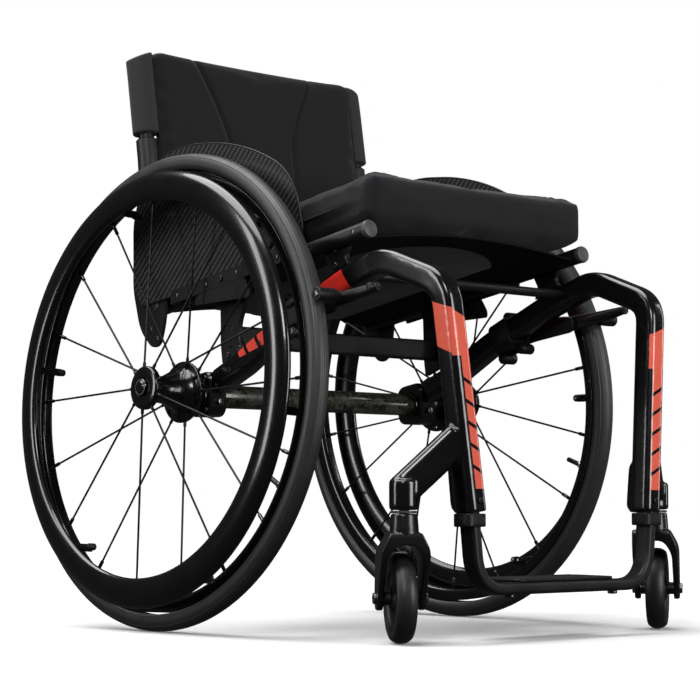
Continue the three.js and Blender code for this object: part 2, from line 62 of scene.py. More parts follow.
TO_ROW = Matrix.Diagonal((0.001, 0.001, 0.001, 1)) @ Matrix.Translation((0, AXLE_Y, 0))
MIRROR = Matrix.Diagonal((-1, 1, 1, 1))
SIDES = (("left", 1), ("right", -1))
SPLAY = 0.108  # how far the down tubes lean outwards for each unit of height
TAU = math.tau


def spot(joint):
    """A joint's place in this script's millimetres."""
    x, y, z = (number * 1000 for number in JOINTS[joint]["pos_m"])
    return x, y - AXLE_Y, z


# ---- shapes: each is (points, faces) ----

def placed(shape, matrix):
    points, faces = shape
    flip = matrix.to_3x3().determinant() < 0
    return [matrix @ Vector(p) for p in points], [f[::-1] for f in faces] if flip else faces


def moved(shape, x=0, y=0, z=0):
    return placed(shape, Matrix.Translation((x, y, z)))


def spun(shape, degrees, axis="X"):
    return placed(shape, Matrix.Rotation(math.radians(degrees), 4, axis))


def grid_faces(rows, columns, close_rows=False):
    """Quads between rings of points; the last ring joins the first with close_rows."""
    faces = []
    for i in range(rows if close_rows else rows - 1):
        for j in range(columns):
            a, b = i * columns + j, i * columns + (j + 1) % columns
            c, d = (i + 1) % rows * columns + (j + 1) % columns, (i + 1) % rows * columns + j
            faces.append((a, b, c, d))
    return faces


def lathe(profile, steps=48, closed=False):
    """Turns [along X, radius] about the X axis. An open profile starts and ends on the axis."""
    inner = profile if closed else profile[1:-1]
    points = []
    for x, r in inner:
        for j in range(steps):
            angle = TAU * j / steps
            points.append(Vector((x, r * math.cos(angle), r * math.sin(angle))))
    faces = grid_faces(len(inner), steps, close_rows=closed)
    if not closed:
        first, last = len(points), len(points) + 1
        points += [Vector((profile[0][0], 0, 0)), Vector((profile[-1][0], 0, 0))]
        end = (len(inner) - 1) * steps
        for j in range(steps):
            k = (j + 1) % steps
            faces.append((first, k, j))
            faces.append((last, end + j, end + k))
    return points, faces


def rod(x0, x1, radius, steps=24, edge=0.6):
    edge = min(edge, radius * 0.5, abs(x1 - x0) * 0.4)
    shoulder = radius - edge * 0.3
    return lathe([(x0, 0), (x0, radius - edge), (x0 + edge * 0.3, shoulder), (x0 + edge, radius),
                  (x1 - edge, radius), (x1 - edge * 0.3, shoulder), (x1, radius - edge), (x1, 0)], steps)


def upright(z0, z1, radius, steps=24, edge=0.6):
    return placed(rod(z0, z1, radius, steps, edge), Matrix.Rotation(-math.pi / 2, 4, "Y"))


def rod_between(start, end, radius, steps=16, edge=0.4):
    start, end = Vector(start), Vector(end)
    turn = Vector((1, 0, 0)).rotation_difference(end - start).to_matrix().to_4x4()
    return placed(rod(0, (end - start).length, radius, steps, edge), Matrix.Translation(start) @ turn)


def arc(start, corner, end, steps):
    """A bend from start to end that is drawn towards the corner."""
    shares = [k / steps for k in range(steps + 1)]
    return [start * (1 - t) ** 2 + corner * 2 * t * (1 - t) + end * t * t for t in shares]


def rounded(corners, radius=0, steps=5):
    """A polygon with round corners. Each corner is (a, b) or (a, b, own radius)."""
    outline = []
    count = len(corners)
    for i, corner in enumerate(corners):
        here = Vector(corner[:2])
        before, after = Vector(corners[i - 1][:2]), Vector(corners[(i + 1) % count][:2])
        own = corner[2] if len(corner) > 2 else radius
        reach = min(own, (before - here).length * 0.48, (after - here).length * 0.48)
        start = here + (before - here).normalized() * reach
        end = here + (after - here).normalized() * reach
        outline += [here] if reach < 1e-6 else arc(start, here, end, steps)
    return outline


def box_section(wide, deep, radius, steps=5):
    x, y = wide / 2, deep / 2
    return rounded([(-x, -y), (x, -y), (x, y), (-x, y)], radius * 1.3, steps)


def area2(outline):
    return sum(p.x * q.y - q.x * p.y for p, q in zip(outline, outline[1:] + outline[:1]))


def inset(outline, by):
    """The outline moved inwards, for the chamfer of a plate."""
    result = []
    count = len(outline)
    for i, here in enumerate(outline):
        edge = outline[(i + 1) % count] - outline[i - 1]
        if edge.length < 1e-6:
            result.append(here.copy())
            continue
        result.append(here + Vector((-edge.y, edge.x)).normalized() * by)
    return result


def plate(outline, x0, x1, edge=0.7):
    """A plate in the Y-Z plane from x0 to x1, with softened edges."""
    if area2(outline) < 0:
        outline = outline[::-1]
    small = inset(outline, edge)
    rings = [(x0, small), (x0 + edge, outline), (x1 - edge, outline), (x1, small)]
    points = [Vector((x, p.x, p.y)) for x, ring in rings for p in ring]
    count = len(outline)
    return facing_out(points, [f[::-1] for f in grid_faces(4, count)] + end_caps(points, count))


def end_caps(points, ring):
    """The faces that close a run of rings at both ends."""
    return [tuple(range(ring))[::-1], tuple(range(len(points) - ring, len(points)))]


def facing_out(points, faces):
    """The shape with its faces turned so that it holds a positive volume."""
    volume = 0
    for face in faces:
        a = points[face[0]]
        for i in range(1, len(face) - 1):
            volume += a.dot(points[face[i]].cross(points[face[i + 1]]))
    return points, [f[::-1] for f in faces] if volume < 0 else faces


def panel(corners, radius, x0, x1, edge=0.7, steps=5):
    """A plate whose outline is given by its corners."""
    return plate(rounded(corners, radius, steps), x0, x1, edge)


def turned(corners, radius, steps, bend=5):
    """A ring turned about the X axis from a section with round corners."""
    return lathe([(p.x, p.y) for p in rounded(corners, radius, bend)], steps, closed=True)


def sweep(path, section, side=(1, 0, 0), closed=False):
    """Carries a closed section along a path. The section's first number runs along side."""
    points = []
    count = len(path)
    for i, here in enumerate(path):
        ahead = path[(i + 1) % count] if closed or i < count - 1 else here
        behind = path[i - 1] if closed or i > 0 else here
        tangent = (ahead - here).normalized() + (here - behind).normalized()
        tangent.normalize()
        across = Vector(side) - tangent * tangent.dot(Vector(side))
        across.normalize()
        up = tangent.cross(across)
        outline = section(i / max(count - 1, 1)) if callable(section) else section
        points += [here + across * p[0] + up * p[1] for p in outline]
    ring = len(points) // count
    return facing_out(points, grid_faces(count, ring, closed) + ([] if closed else end_caps(points, ring)))


def at_end(t):
    """Whether a share of a path's length is one of its two ends."""
    return t in (0.0, 1.0)


def bent(corners, steps=10):
    """Straight runs joined by bends. Each corner is (x, y, z, bend radius)."""
    at = [Vector(c[:3]) for c in corners]
    path = [at[0]]
    for i in range(1, len(at) - 1):
        back, on = (at[i - 1] - at[i]).normalized(), (at[i + 1] - at[i]).normalized()
        reach = corners[i][3] / math.tan(back.angle(on) / 2)
        start, end = at[i] + back * reach, at[i] + on * reach
        path += arc(start, at[i], end, steps)
    path.append(at[-1])
    return path


def finely(path, step):
    """The same path with a point at least every step."""
    result = [path[0]]
    for a, b in zip(path, path[1:]):
        parts = max(1, math.ceil((b - a).length / step))
        result += [a.lerp(b, (k + 1) / parts) for k in range(parts)]
    return result


def socket_bolt(radius, tall, x=0):
    """A cap screw along +X with its hex socket, standing on the plane at x."""
    return lathe([(x - 1, 0), (x - 1, radius * 0.8), (x, radius), (x + tall * 0.85, radius),
                  (x + tall, radius * 0.88), (x + tall, radius * 0.5), (x + tall * 0.45, radius * 0.48),
                  (x + tall * 0.45, 0)], 24)


def bolts(radius, tall, x, places):
    """Cap screws on the plane at x, in the second look of their piece."""
    return [(moved(socket_bolt(radius, tall, x), y=y, z=z), 1) for y, z in places]


# ---- pieces ----

def add(name, data):
    """A new object in the scene."""
    thing = bpy.data.objects.new(name, data)
    bpy.context.scene.collection.objects.link(thing)
    return thing


def build(name, shapes, looks):
    """One mesh object. shapes is a list of shapes or of (shape, look number)."""
    points, faces, numbers = [], [], []
    for shape, look in looked(shapes):
        start = len(points)
        points += [TO_ROW @ Vector(p) for p in shape[0]]
        faces += [tuple(start + v for v in f) for f in shape[1]]
        numbers += [look] * len(shape[1])
    mesh = bpy.data.meshes.new(name)
    mesh.from_pydata([tuple(p) for p in points], [], faces)
    for look in looks:
        mesh.materials.append(look)
    mesh.polygons.foreach_set("material_index", numbers)
    piece = add(name, mesh)
    smooth(piece)
    return piece


def smooth(piece, degrees=32):
    piece.data.polygons.foreach_set("use_smooth", [True] * len(piece.data.polygons))
    piece.data.set_sharp_from_angle(angle=math.radians(degrees))
    piece.data.update()


def freeze(piece):
    """Applies every modifier of a piece."""
    view = bpy.context.evaluated_depsgraph_get()
    mesh = bpy.data.meshes.new_from_object(piece.evaluated_get(view))
    piece.modifiers.clear()
    piece.data = mesh


def coordinates(mesh):
    flat = np.zeros(len(mesh.vertices) * 3)
    mesh.vertices.foreach_get("co", flat)
    return flat.reshape(-1, 3)


def set_coordinates(mesh, places):
    mesh.vertices.foreach_set("co", np.asarray(places, dtype=np.float64).reshape(-1))
    mesh.update()


def read_places(piece):
    """A piece's points as x, y and z in this script's millimetres."""
    x, y, z = coordinates(piece.data).T * 1000
    return x, y - AXLE_Y, z


def write_places(piece, x, y, z):
    set_coordinates(piece.data, np.stack((x, y + AXLE_Y, z), axis=1) / 1000)


def fuse(piece, voxel, rounds):
    """Melts a piece's shapes into one skin with soft inner corners."""
    remesh = piece.modifiers.new("fuse", "REMESH")
    remesh.mode = "VOXEL"
    remesh.voxel_size = voxel / 1000
    remesh.use_smooth_shade = True
    soften = piece.modifiers.new("soften", "SMOOTH")
    soften.iterations = rounds
    freeze(piece)
    smooth(piece, 60)


def joined(first, second):
    """Both pieces as one."""
    mesh = bmesh.new()
    mesh.from_mesh(first.data)
    mesh.from_mesh(second.data)
    mesh.to_mesh(first.data)
    mesh.free()
    bpy.data.objects.remove(second)
    return first


def cut(piece, shapes, operation="DIFFERENCE"):
    """Takes shapes away from a piece, or keeps only what lies inside them."""
    tool = build("cutter", shapes, [piece.data.materials[0]])
    remove = piece.modifiers.new("cut", "BOOLEAN")
    remove.operation = operation
    remove.solver = "EXACT"
    remove.object = tool
    freeze(piece)
    bpy.data.objects.remove(tool)
    smooth(piece)


def looked(shapes):
    """Each shape with its look number, which is 0 where none is given."""
    return [shape if isinstance(shape[1], int) else (shape, 0) for shape in shapes]


def finish_piece(piece, node, body):
    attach(piece, body)
    if node:
        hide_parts(node)
    return piece


def piece(name, shapes, looks, node, body="frame", slot="satin_black"):
    """A finished piece. It stands for the CAD node of the given name, if there is one."""
    return finish_piece(build(name, shapes, looks), node, body)


def pair(name, shapes, looks, node, body="frame", make=None):
    """The same piece on both sides. A {} in a body or node name is filled with the side."""
    made = []
    for side, sign in SIDES:
        own = looked(shapes(side) if callable(shapes) else shapes)
        own = [(placed(s, MIRROR), n) for s, n in own] if sign < 0 else own
        one = build(f"{side}_{name}", own, looks)
        if make:
            make(one, sign)
        made.append(finish_piece(one, node.format(side), body.format(side)))
    return made


# ---- materials ----

class Value:
    """A node socket that can be added, scaled and compared like a number."""

    def __init__(self, tree, socket):
        self.tree, self.socket = tree, socket

    def math(self, operation, *others, clamp=False):
        node = self.tree.nodes.new("ShaderNodeMath")
        node.operation = operation
        node.use_clamp = clamp
        for slot, value in zip(node.inputs, (self, *others)):
            if isinstance(value, Value):
                self.tree.links.new(value.socket, slot)
            else:
                slot.default_value = value
        return Value(self.tree, node.outputs[0])

    def __add__(self, other):
        return self.math("ADD", other)

    def __sub__(self, other):
        return self.math("SUBTRACT", other)

    def __mul__(self, other):
        return self.math("MULTIPLY", other)

    def __truediv__(self, other):
        return self.math("DIVIDE", other)

    def above(self, other):
        return self.math("GREATER_THAN", other)

    def below(self, other):
        return self.math("LESS_THAN", other)

    def wave(self, pitch):
        """A sine of this length from 0 to 1."""
        return (self * (TAU / pitch)).math("SINE") * 0.5 + 0.5


class Look:
    """A Principled material that is built up from small procedural steps."""

    def __init__(self, name, **inputs):
        self.material = bpy.data.materials.new(name)
        self.material.use_nodes = True
        self.tree = self.material.node_tree
        self.shader = self.tree.nodes["Principled BSDF"]
        for key, value in inputs.items():
            self.set(key.replace("_", " "), value)
        self.place = self.node("TexCoord").outputs["Object"]
        self.x, self.y, self.z = (part * 1000 for part in self.split(self.place))
        self.y = self.y - AXLE_Y
        self.bumps = None

    def node(self, kind):
        return self.tree.nodes.new("ShaderNode" + kind)

    def feed(self, slot, value):
        """Links a value or a socket to the slot, or writes a number or colour into it."""
        if isinstance(value, Value):
            value = value.socket
        if isinstance(value, bpy.types.NodeSocket):
            self.tree.links.new(value, slot)
        else:
            slot.default_value = (*value, 1) if slot.type == "RGBA" else value

    def set(self, key, value):
        self.feed(self.shader.inputs[key], value)

    def split(self, socket, kind="SeparateXYZ"):
        """The three numbers of a vector or colour."""
        node = self.node(kind)
        self.feed(node.inputs[0], socket)
        return [Value(self.tree, out) for out in node.outputs]

    def texture(self, kind, size_mm, stretch):
        """A texture in the object's own space."""
        scale, node = self.node("Mapping"), self.node(kind)
        scale.inputs["Scale"].default_value = stretch
        self.feed(scale.inputs[0], self.place)
        self.feed(node.inputs["Vector"], scale.outputs[0])
        node.inputs["Scale"].default_value = 1000 / size_mm
        return node

    def noise(self, size_mm, detail=3.0, stretch=(1, 1, 1)):
        node = self.texture("TexNoise", size_mm, stretch)
        node.inputs["Detail"].default_value = detail
        node.inputs["Roughness"].default_value = 0.55
        return Value(self.tree, node.outputs["Fac"])

    def cells(self, size_mm, stretch):
        """Each cell's own random colour, as three numbers."""
        return self.split(self.texture("TexVoronoi", size_mm, stretch).outputs["Color"], "SeparateColor")

    def mix(self, share, a, b):
        """A colour between a and b."""
        node = self.node("Mix")
        node.data_type = "RGBA"
        for key, value in ((0, share), (6, a), (7, b)):
            self.feed(node.inputs[key], value)
        return node.outputs[2]

    def color(self, share, a, b):
        self.set("Base Color", self.mix(share, a, b))

    def bump(self, height, depth_mm, strength=1.0):
        node = self.node("Bump")
        node.inputs["Strength"].default_value = strength
        node.inputs["Distance"].default_value = depth_mm / 1000
        self.feed(node.inputs["Height"], height)
        if self.bumps:
            self.feed(node.inputs["Normal"], self.bumps)
        self.bumps = node.outputs[0]
        self.set("Normal", self.bumps)


CORAL = (1.0, 0.19, 0.125)


def toned(color, factor):
    return tuple(number * factor for number in color)


def paint(name, color, rough, coat=0.0, metal=0.0):
    """Sprayed or anodised metal: faint smudges and a fine texture."""
    look = Look(name, Coat_Weight=coat, Coat_Roughness=0.04, Metallic=metal)
    smudge = look.noise(38, 4)
    fine = look.noise(2.2, 2)
    worn = tuple(c * 1.7 + 0.001 for c in color)
    look.color(smudge * 0.55 + fine * 0.25, color, worn)
    look.set("Roughness", smudge * (rough * 0.7) + fine * (rough * 0.3) + rough * 0.5)
    look.bump(look.noise(1.6, 2), 0.02, 0.5)
    return look


fork_paint = paint("fork_paint", (0.0035, 0.0035, 0.004), 0.3, coat=0.25).material
gloss = paint("gloss_black_paint", (0.0025, 0.0025, 0.003), 0.2, coat=0.5).material
satin = paint("satin_dark_metal", (0.008, 0.0083, 0.009), 0.42, metal=0.35).material
grey_cap = paint("grey_cap_plastic", (0.05, 0.052, 0.055), 0.45).material
plastic = paint("moulded_black_plastic", (0.005, 0.005, 0.0055), 0.48).material
red_tab = paint("red_webbing", (0.55, 0.02, 0.015), 0.7).material


def make_steel(name, dark, light):
    look = Look(name, Metallic=1.0)
    rings = look.noise(1.1, 3, (1, 0.25, 0.25))
    look.color(look.noise(9, 3), dark, light)
    look.set("Roughness", rings * 0.25 + 0.18)
    look.bump(rings, 0.03, 0.6)
    return look.material


def make_rubber(name, color, tread):
    look = Look(name, Specular_IOR_Level=0.6)
    dust = look.noise(26, 5)
    fine = look.noise(1.3, 3)
    look.color(dust * 0.7 + fine * 0.3, color, toned(color, 1.9))
    look.set("Roughness", dust * 0.25 + 0.33)
    look.bump(fine, 0.12, 0.6)
    if tread:
        look.bump(look.noise(5, 4, (1, 0.3, 0.3)), 0.2, 0.5)
    return look.material


def make_cloth(name, color, pitch=0.9, sheen=0.12):
    """A plain weave: warp and weft as crossed waves that take turns on top."""
    look = Look(name, Sheen_Weight=sheen, Sheen_Roughness=0.5, Specular_IOR_Level=0.2)
    warp = (look.x + look.z * 0.35).wave(pitch)
    weft = (look.y * 0.9 - look.z * 0.8).wave(pitch)
    weave = warp * 0.5 + weft * 0.5
    cloud = look.noise(30, 4)
    fuzz = look.noise(0.8, 2)
    base = look.mix(weave * 0.5 + fuzz * 0.5, toned(color, 0.6), toned(color, 1.5))
    look.color(cloud * 0.5, base, toned(color, 1.25))
    look.set("Roughness", weave * 0.12 + 0.8)
    look.bump(weave, 0.12, 0.5)
    look.bump(look.noise(7, 3), 0.35, 0.35)
    return look.material


def make_carbon():
    """Twill: each tow passes over two and under two, a step further along in every row."""
    look = Look("twill_carbon", Coat_Weight=0.55, Coat_Roughness=0.12, Specular_IOR_Level=0.5)
    tow = 2.6
    row = (look.z / tow).math("FLOOR")
    column = (look.y / tow).math("FLOOR")
    turn = ((row + column) / 4).math("FRACT").above(0.49)
    along = (look.y / tow).math("FRACT")
    up = (look.z / tow).math("FRACT")
    crown = (along - along * along) * 4
    rise = (up - up * up) * 4
    height = crown * turn + rise * (turn * -1 + 1)
    light = turn * 0.75 + height * 0.25
    look.color(light, (0.002, 0.002, 0.0022), (0.034, 0.036, 0.038))
    look.set("Roughness", turn * 0.18 + look.noise(20) * 0.15 + 0.22)
    look.bump(height, 0.18, 0.6)
    return look.material


def make_forged():
    """Chopped carbon under lacquer: flakes that each lie their own way."""
    look = Look("chopped_carbon", Coat_Weight=0.6, Coat_Roughness=0.1)
    one, two = look.cells(11, (0.6, 1.5, 1.2))[0], look.cells(5, (1.3, 0.7, 1))[1]
    light = (one * 0.6 + two * 0.4).math("POWER", 2.2)
    look.color(light, (0.006, 0.006, 0.004), (0.11, 0.107, 0.082))
    look.set("Roughness", two * 0.3 + 0.2)
    look.bump(one, 0.08, 0.4)
    return look.material


def make_frame_paint():
    """Gloss black with the coral stripes: along the front of the down tube and the side of the long tube."""
    look = paint("frame_paint_with_stripes", (0.0025, 0.0025, 0.003), 0.2, coat=0.5)
    nx, ny = look.split(look.node("NewGeometry").outputs["Normal"])[:2]
    side = look.x.math("ABSOLUTE")
    outward = (nx * look.x).math("SIGN") * nx.math("ABSOLUTE")
    z, y = look.z, look.y
    offset = side - (z - 161) * SPLAY - 153
    # the front stripe is crossed by short slanted bars
    front = ny.below(-0.55) * z.above(174) * (z - offset * 0.4).below(371)
    front = front * (offset + 2.7 - look.x.math("SIGN") * 2.2).math("ABSOLUTE").below(8.7)
    bar = ((z - offset * 0.5 - 195) / 24.5).math("FRACT").below(0.19)
    bar = bar * (z - offset * 0.5).below(300) * (z - offset * 0.5).above(190)
    front = front * (bar * -1 + 1)
    # at the top it wraps round the corner
    wrap = outward.above(0.35) * (z - y * 0.3 - 450 * 0.3).below(375) * (z - y * 0.4 - 450 * 0.4).above(322)
    wrap = wrap * y.below(-400)
    corner = ny.below(-0.3) * z.above(323) * (z - offset * 0.4).below(371) * y.below(-400)
    # the long tube: a row of slanted marks that grows into a solid block
    line = z - (y * -1 - 120) * 0.368 - 360.5
    along = y * -1 + line * 0.6
    height = (along - 80) * 0.075 + 6
    band = outward.above(0.6) * (line + 2).math("ABSOLUTE").below(height)
    band = band * along.above(78) * along.below(280)
    gaps = (along / 22.5).math("FRACT").below(0.24) * along.below(222)
    band = band * (gaps * -1 + 1)
    stripe = (front + wrap + corner + band).math("ADD", 0.0, clamp=True)
    under = look.shader.inputs["Base Color"].links[0].from_socket
    coral = look.mix(look.noise(14, 3), CORAL, (0.93, 0.13, 0.08))
    # the long tube's marks and block are painted in deeper reds than the down tube's coral: painted shade on
    # the same decal, deepest on the block
    stripe_color_with_painted_shade = look.mix(y.above(-380), coral, look.mix(y.above(-190), (0.8, 0.03, 0.02), (0.95, 0.09, 0.06)))
    look.color(stripe, under, stripe_color_with_painted_shade)
    return look.material


steel = make_steel("turned_steel", (0.42, 0.42, 0.43), (0.62, 0.62, 0.63))
dull_steel = make_steel("dull_steel", (0.16, 0.16, 0.165), (0.3, 0.3, 0.31))
bolt_black = make_steel("blackened_bolt_steel", (0.09, 0.09, 0.095), (0.2, 0.2, 0.21))
tyre_rubber = make_rubber("tyre_rubber", (0.021, 0.0215, 0.0225), True)
caster_rubber = make_rubber("caster_rubber", (0.008, 0.008, 0.009), False)
seat_cloth = make_cloth("seat_fabric", (0.0125, 0.0125, 0.0145))
back_cloth = make_cloth("back_fabric", (0.0115, 0.0115, 0.0125), 1.1, 0.1)
# the sleeves' cloth is about three times lighter than the back pad's: painted light, for the light from the
# left that falls on them
sleeve_cloth_painted_light = make_cloth("cane_sleeve_fabric_painted_light", (0.034, 0.034, 0.036), 1.1, 0.1)
# the seat web's cloth is near black, far darker than the cushion's: painted shade for the dark space under
# the seat
web_cloth_painted_shade = make_cloth("seat_web_fabric_painted_shade", (0.002, 0.002, 0.002), 1.4, 0.0)
carbon = make_carbon()
forged = make_forged()
frame_paint = make_frame_paint()

# ---- rear wheels ----

WHEEL = (Matrix.Translation((AXLE_X, 0, AXLE_Z)) @ Matrix.Rotation(-CAMBER, 4, "Y"))
TYRE_MIDDLE, TYRE_ROUND = 286.5, 13.5
RIM_LOW, RIM_HIGH = 262, 277.4
OUTER_FLANGE = (33, 27.5)
INNER_FLANGE = (-26, 39.5)
SPOKES, FIRST_SPOKE, FIRST_BOLT, VALVE = 18, 101, 52, 332  # a count, then angles in degrees
WHEEL_TURN = {"left": -7.5, "right": 0}


def on_wheel(shapes):
    """The shapes of one side's wheel, each wheel stopped at its own place."""
    def one_side(side):
        at = WHEEL @ Matrix.Rotation(math.radians(WHEEL_TURN[side]), 4, "X")
        return [(placed(s, at), n) for s, n in looked(shapes)]
    return one_side


def polar(radius, degrees, x):
    angle = math.radians(degrees)
    return Vector((x, -radius * math.cos(angle), radius * math.sin(angle)))


def tyre_profile():
    """Round, with fine lines round the tread and a small step at each shoulder."""
    profile = []
    for i in range(85):
        degrees = -126 + 252 * i / 84
        angle = math.radians(degrees)
        radius = TYRE_ROUND - 0.2 * (abs(degrees) < 52 and i % 6 < 2) - 0.5 * (54 < abs(degrees) < 58)
        radius -= 0.9 * max(0, (abs(degrees) - 100) / 26)
        profile.append((radius * math.sin(angle), TYRE_MIDDLE + radius * math.cos(angle)))
    return profile


def spoke_shapes():
    shapes = []
    for i in range(SPOKES):
        offset, radius = INNER_FLANGE if i % 2 else OUTER_FLANGE
        degrees = FIRST_SPOKE + i * 360 / SPOKES
        foot, tip = polar(radius - 3, degrees, offset), polar(RIM_LOW - 1, degrees, 0)
        near = tip.lerp(foot, 15 / (tip - foot).length)
        shapes.append(rod_between(foot, tip, 1.35, 12))
        shapes.append((rod_between(near, tip, 2.4, 12, 0.8), 1))
        shapes.append(rod_between(foot, foot.lerp(tip, 0.035), 2.1, 12))
    return shapes


def hub_shape():
    return turned([
        (-28.5, 9), (-28.5, 38.5, 1.5), (-23.6, 39.3, 1.5), (-22, 30, 6), (-12, 22, 8), (8, 16.5, 8),
        (24, 18, 6), (28.6, 27.3, 2), (36.5, 27.3, 2.5), (38.2, 21, 2), (38.2, 12, 0.8), (29.6, 11.6, 0.8),
        (29.6, 9)], 0, 64)


def oval_hoop():
    """The handrim's section: a tall oval that leans outwards."""
    lean, middle = Matrix.Rotation(math.radians(9), 2), Vector((33.5, 254.5))
    half_depth, half_width = 8.5, 19
    angles = [TAU * i / 32 for i in range(32)]
    return [middle + lean @ Vector((half_depth * math.cos(a), half_width * math.sin(a))) for a in angles]


def handrim_shapes():
    shapes = [lathe(oval_hoop(), 180, closed=True)]
    for i in range(6):
        turn = 90 - FIRST_BOLT - i * 60
        tab = panel([(-5, 249), (5, 249), (5, 256), (-5, 256)], 2, -9, 31, 1)
        post = moved(rod(-13, -2, 4.6, 24, 1.2), z=250.5)
        screw = moved(spun(socket_bolt(2.6, 1.2, 13), 180, "Z"), z=250.5)
        shapes += [(spun(tab, turn), 0), (spun(post, turn), 1), (spun(screw, turn), 2)]
    return shapes


def rim_shapes():
    valve = spun(upright(236, 263, 3.2, 20, 1), 90 - VALVE)
    nut = spun(upright(257, 261.5, 5, 6, 0.5), 90 - VALVE)
    rim = turned([
        (-6.5, RIM_LOW, 2.5), (-9.4, RIM_LOW + 5, 3), (-9.4, RIM_HIGH - 0.6, 0.6), (9.4, RIM_HIGH - 0.6, 0.6),
        (9.4, RIM_LOW + 5, 3), (6.5, RIM_LOW, 2.5)], 1, 180)
    return [(rim, 0), (valve, 1), (nut, 2)]


def hub_cap():
    cap = lathe([(33.4, 0), (33.4, 10.6), (40.4, 10.6), (41.2, 9.9), (41.2, 8.4), (41.7, 8.2), (43.2, 6.6),
                 (43.5, 4.5), (43.5, 0)], 40)
    ring = lathe([(40.9, 8.4), (40.9, 9.8), (41.7, 9.6), (41.7, 8.6)][::-1], 48, closed=True)
    return [(cap, 0), (ring, 1)]


def axle_shapes():
    step = lathe([(-14, 0), (-14, 6.2), (-30, 6.2), (-30, 0)][::-1], 32)
    return [rod(-60, -13.5, 10.7, 32, 0.8), step, rod(-30.5, 29, 6.1, 32, 0.5), rod(-36, -30, 10.8, 32, 0.8)]


def drill_flange(one, sign):
    holes = []
    for i in range(9):
        at = polar(32.5, 30 + i * 40, 0)
        hole = placed(moved(rod(-40, -18, 3.5, 20, 0.1), y=at.y, z=at.z), WHEEL)
        holes.append(placed(hole, MIRROR) if sign < 0 else hole)
    cut(one, holes)


pair("tyre_skin", on_wheel([lathe(tyre_profile(), 180, closed=True)]), [tyre_rubber], "{}_tyre", "{}_wheel")
pair("rim_skin", on_wheel(rim_shapes()), [gloss, plastic, steel], "{}_rim", "{}_wheel")
pair("spoke_set", on_wheel(spoke_shapes()), [satin, gloss], "{}_spokes", "{}_wheel")
pair("hub_shell", on_wheel([hub_shape()]), [gloss], "{}_hub", "{}_wheel", make=drill_flange)
pair("push_hoop", on_wheel(handrim_shapes()), [gloss, plastic, steel], "{}_handrim", "{}_wheel")
pair("hub_button", on_wheel(hub_cap()), [gloss, steel], "{}_axle_button", "{}_release")
pair("axle_pin", on_wheel(axle_shapes()), [steel], "{}_axle", "frame")

# ---- camber tube and axle clamps ----

TUBE_Z = 294.5
piece("cross_axle_tube", [moved(rod(-203, 203, 14.9, 48, 0.8), z=TUBE_Z)], [forged], "camber_tube",
      "frame", "forged_carbon")


def clamp_shapes():
    z = TUBE_Z
    body = panel([(-25, z - 27), (22, z - 27), (25, z + 24), (-25, z + 32)], 15, 171, 199, 2.5, 8)
    outer, inner = rod(197, 202.5, 19, 40, 1.5), rod(168.5, 173, 18.5, 40, 1.5)
    shapes = [(body, 0), (moved(outer, z=z), 0), (moved(inner, z=z), 0)]
    shapes += bolts(4, 3, 199, [(-16, z - 18), (14, z - 18), (-16, z + 21), (14, z + 17)])
    for dz in (-8, 8):
        shapes.append((moved(rod_between((185, -30, 0), (185, -24, 0), 4.2, 20), z=z + dz), 1))
    return shapes


pair("axle_block", clamp_shapes(), [gloss, bolt_black], "{}_axle_clamp", "frame")

# ---- main frame ----

FRAME_X = 185
DOWN_FOOT = (151.5, -438, 147.3)
FRONT_Y = DOWN_FOOT[1]
CASTER = Vector((*spot("left_caster_swivel")[:2], 0))
LEG_X, LEG_LOW = 145.2, 60.7


def frame_tube():
    path = bent([
        (FRAME_X, -30.5, 312.4), (FRAME_X, -80, 333, 80), (FRAME_X, -150, 371, 220),
        (FRAME_X, -250, 413, 300), (FRAME_X, -332, 441, 60), (179.4, -427, 405, 38), DOWN_FOOT])
    return sweep(finely(path, 6), box_section(27, 31, 6.5))


def frame_arm():
    start, end = Vector((164.8, -432.7, 231.4)), CASTER + Vector((1.8, 2.2, 170.6))
    return sweep(finely([start, end], 6), box_section(25, 37, 7), (0.6, -0.8, 0.1))


def frame_shapes():
    housing = placed(upright(150, 184, 17, 40, 2.5), Matrix.Translation(CASTER))
    heel = []
    for z in (151, 156, 200, 207):
        y = FRONT_Y + 15.8 - 5 * (z in (151, 207))
        heel.append(Vector((DOWN_FOOT[0] + (z - DOWN_FOOT[2]) * SPLAY, y, z)))
    heel = sweep(finely(heel, 4), box_section(23, 15, 4))
    return [frame_tube(), frame_arm(), housing, heel]


pair("side_frame", frame_shapes(), [frame_paint], "{}_main_frame", "frame",
     make=lambda one, sign: fuse(one, 1.3, 16))


def frame_details():
    screw = moved(spun(socket_bolt(3.4, 1.6), -90, "Z"), 152.6, -453.6, 161)
    sides = [moved(socket_bolt(3.6, 1.4, 198.1), y=y, z=z) for y, z in ((-62, 324), (-120, 354))]
    return [screw] + sides


pair("frame_screws", frame_details(), [satin, grey_cap], "")


def collar_shapes():
    x, y = LEG_X + (147 - LEG_LOW) * SPLAY - 0.8, FRONT_Y
    ring = sweep([Vector((x, y, z)) for z in (131.2, 132.6, 136, 142, 145.2, 146.2)],
                 lambda t: box_section(31 - 1.6 * at_end(t), 28 - 1.6 * at_end(t), 6))
    return [ring] + bolts(2.8, 1.4, x + 14.5, [(y, 139)])


pair("leg_collar", collar_shapes(), [satin, bolt_black], "{}_footrest_collar")

# ---- footrest ----


def footrest_path():
    y = FRONT_Y
    left = bent([(LEG_X + (175 - LEG_LOW) * SPLAY, y, 175), (LEG_X, y, LEG_LOW, 44), (0, y, LEG_LOW)], 16)
    right = [Vector((-p.x, p.y, p.z)) for p in left[:-1]][::-1]
    return left + right


piece("foot_tube", [sweep(finely(footrest_path(), 8), box_section(24, 14, 4), (0, 1, 0))], [satin],
      "footrest_tube", "footrest")


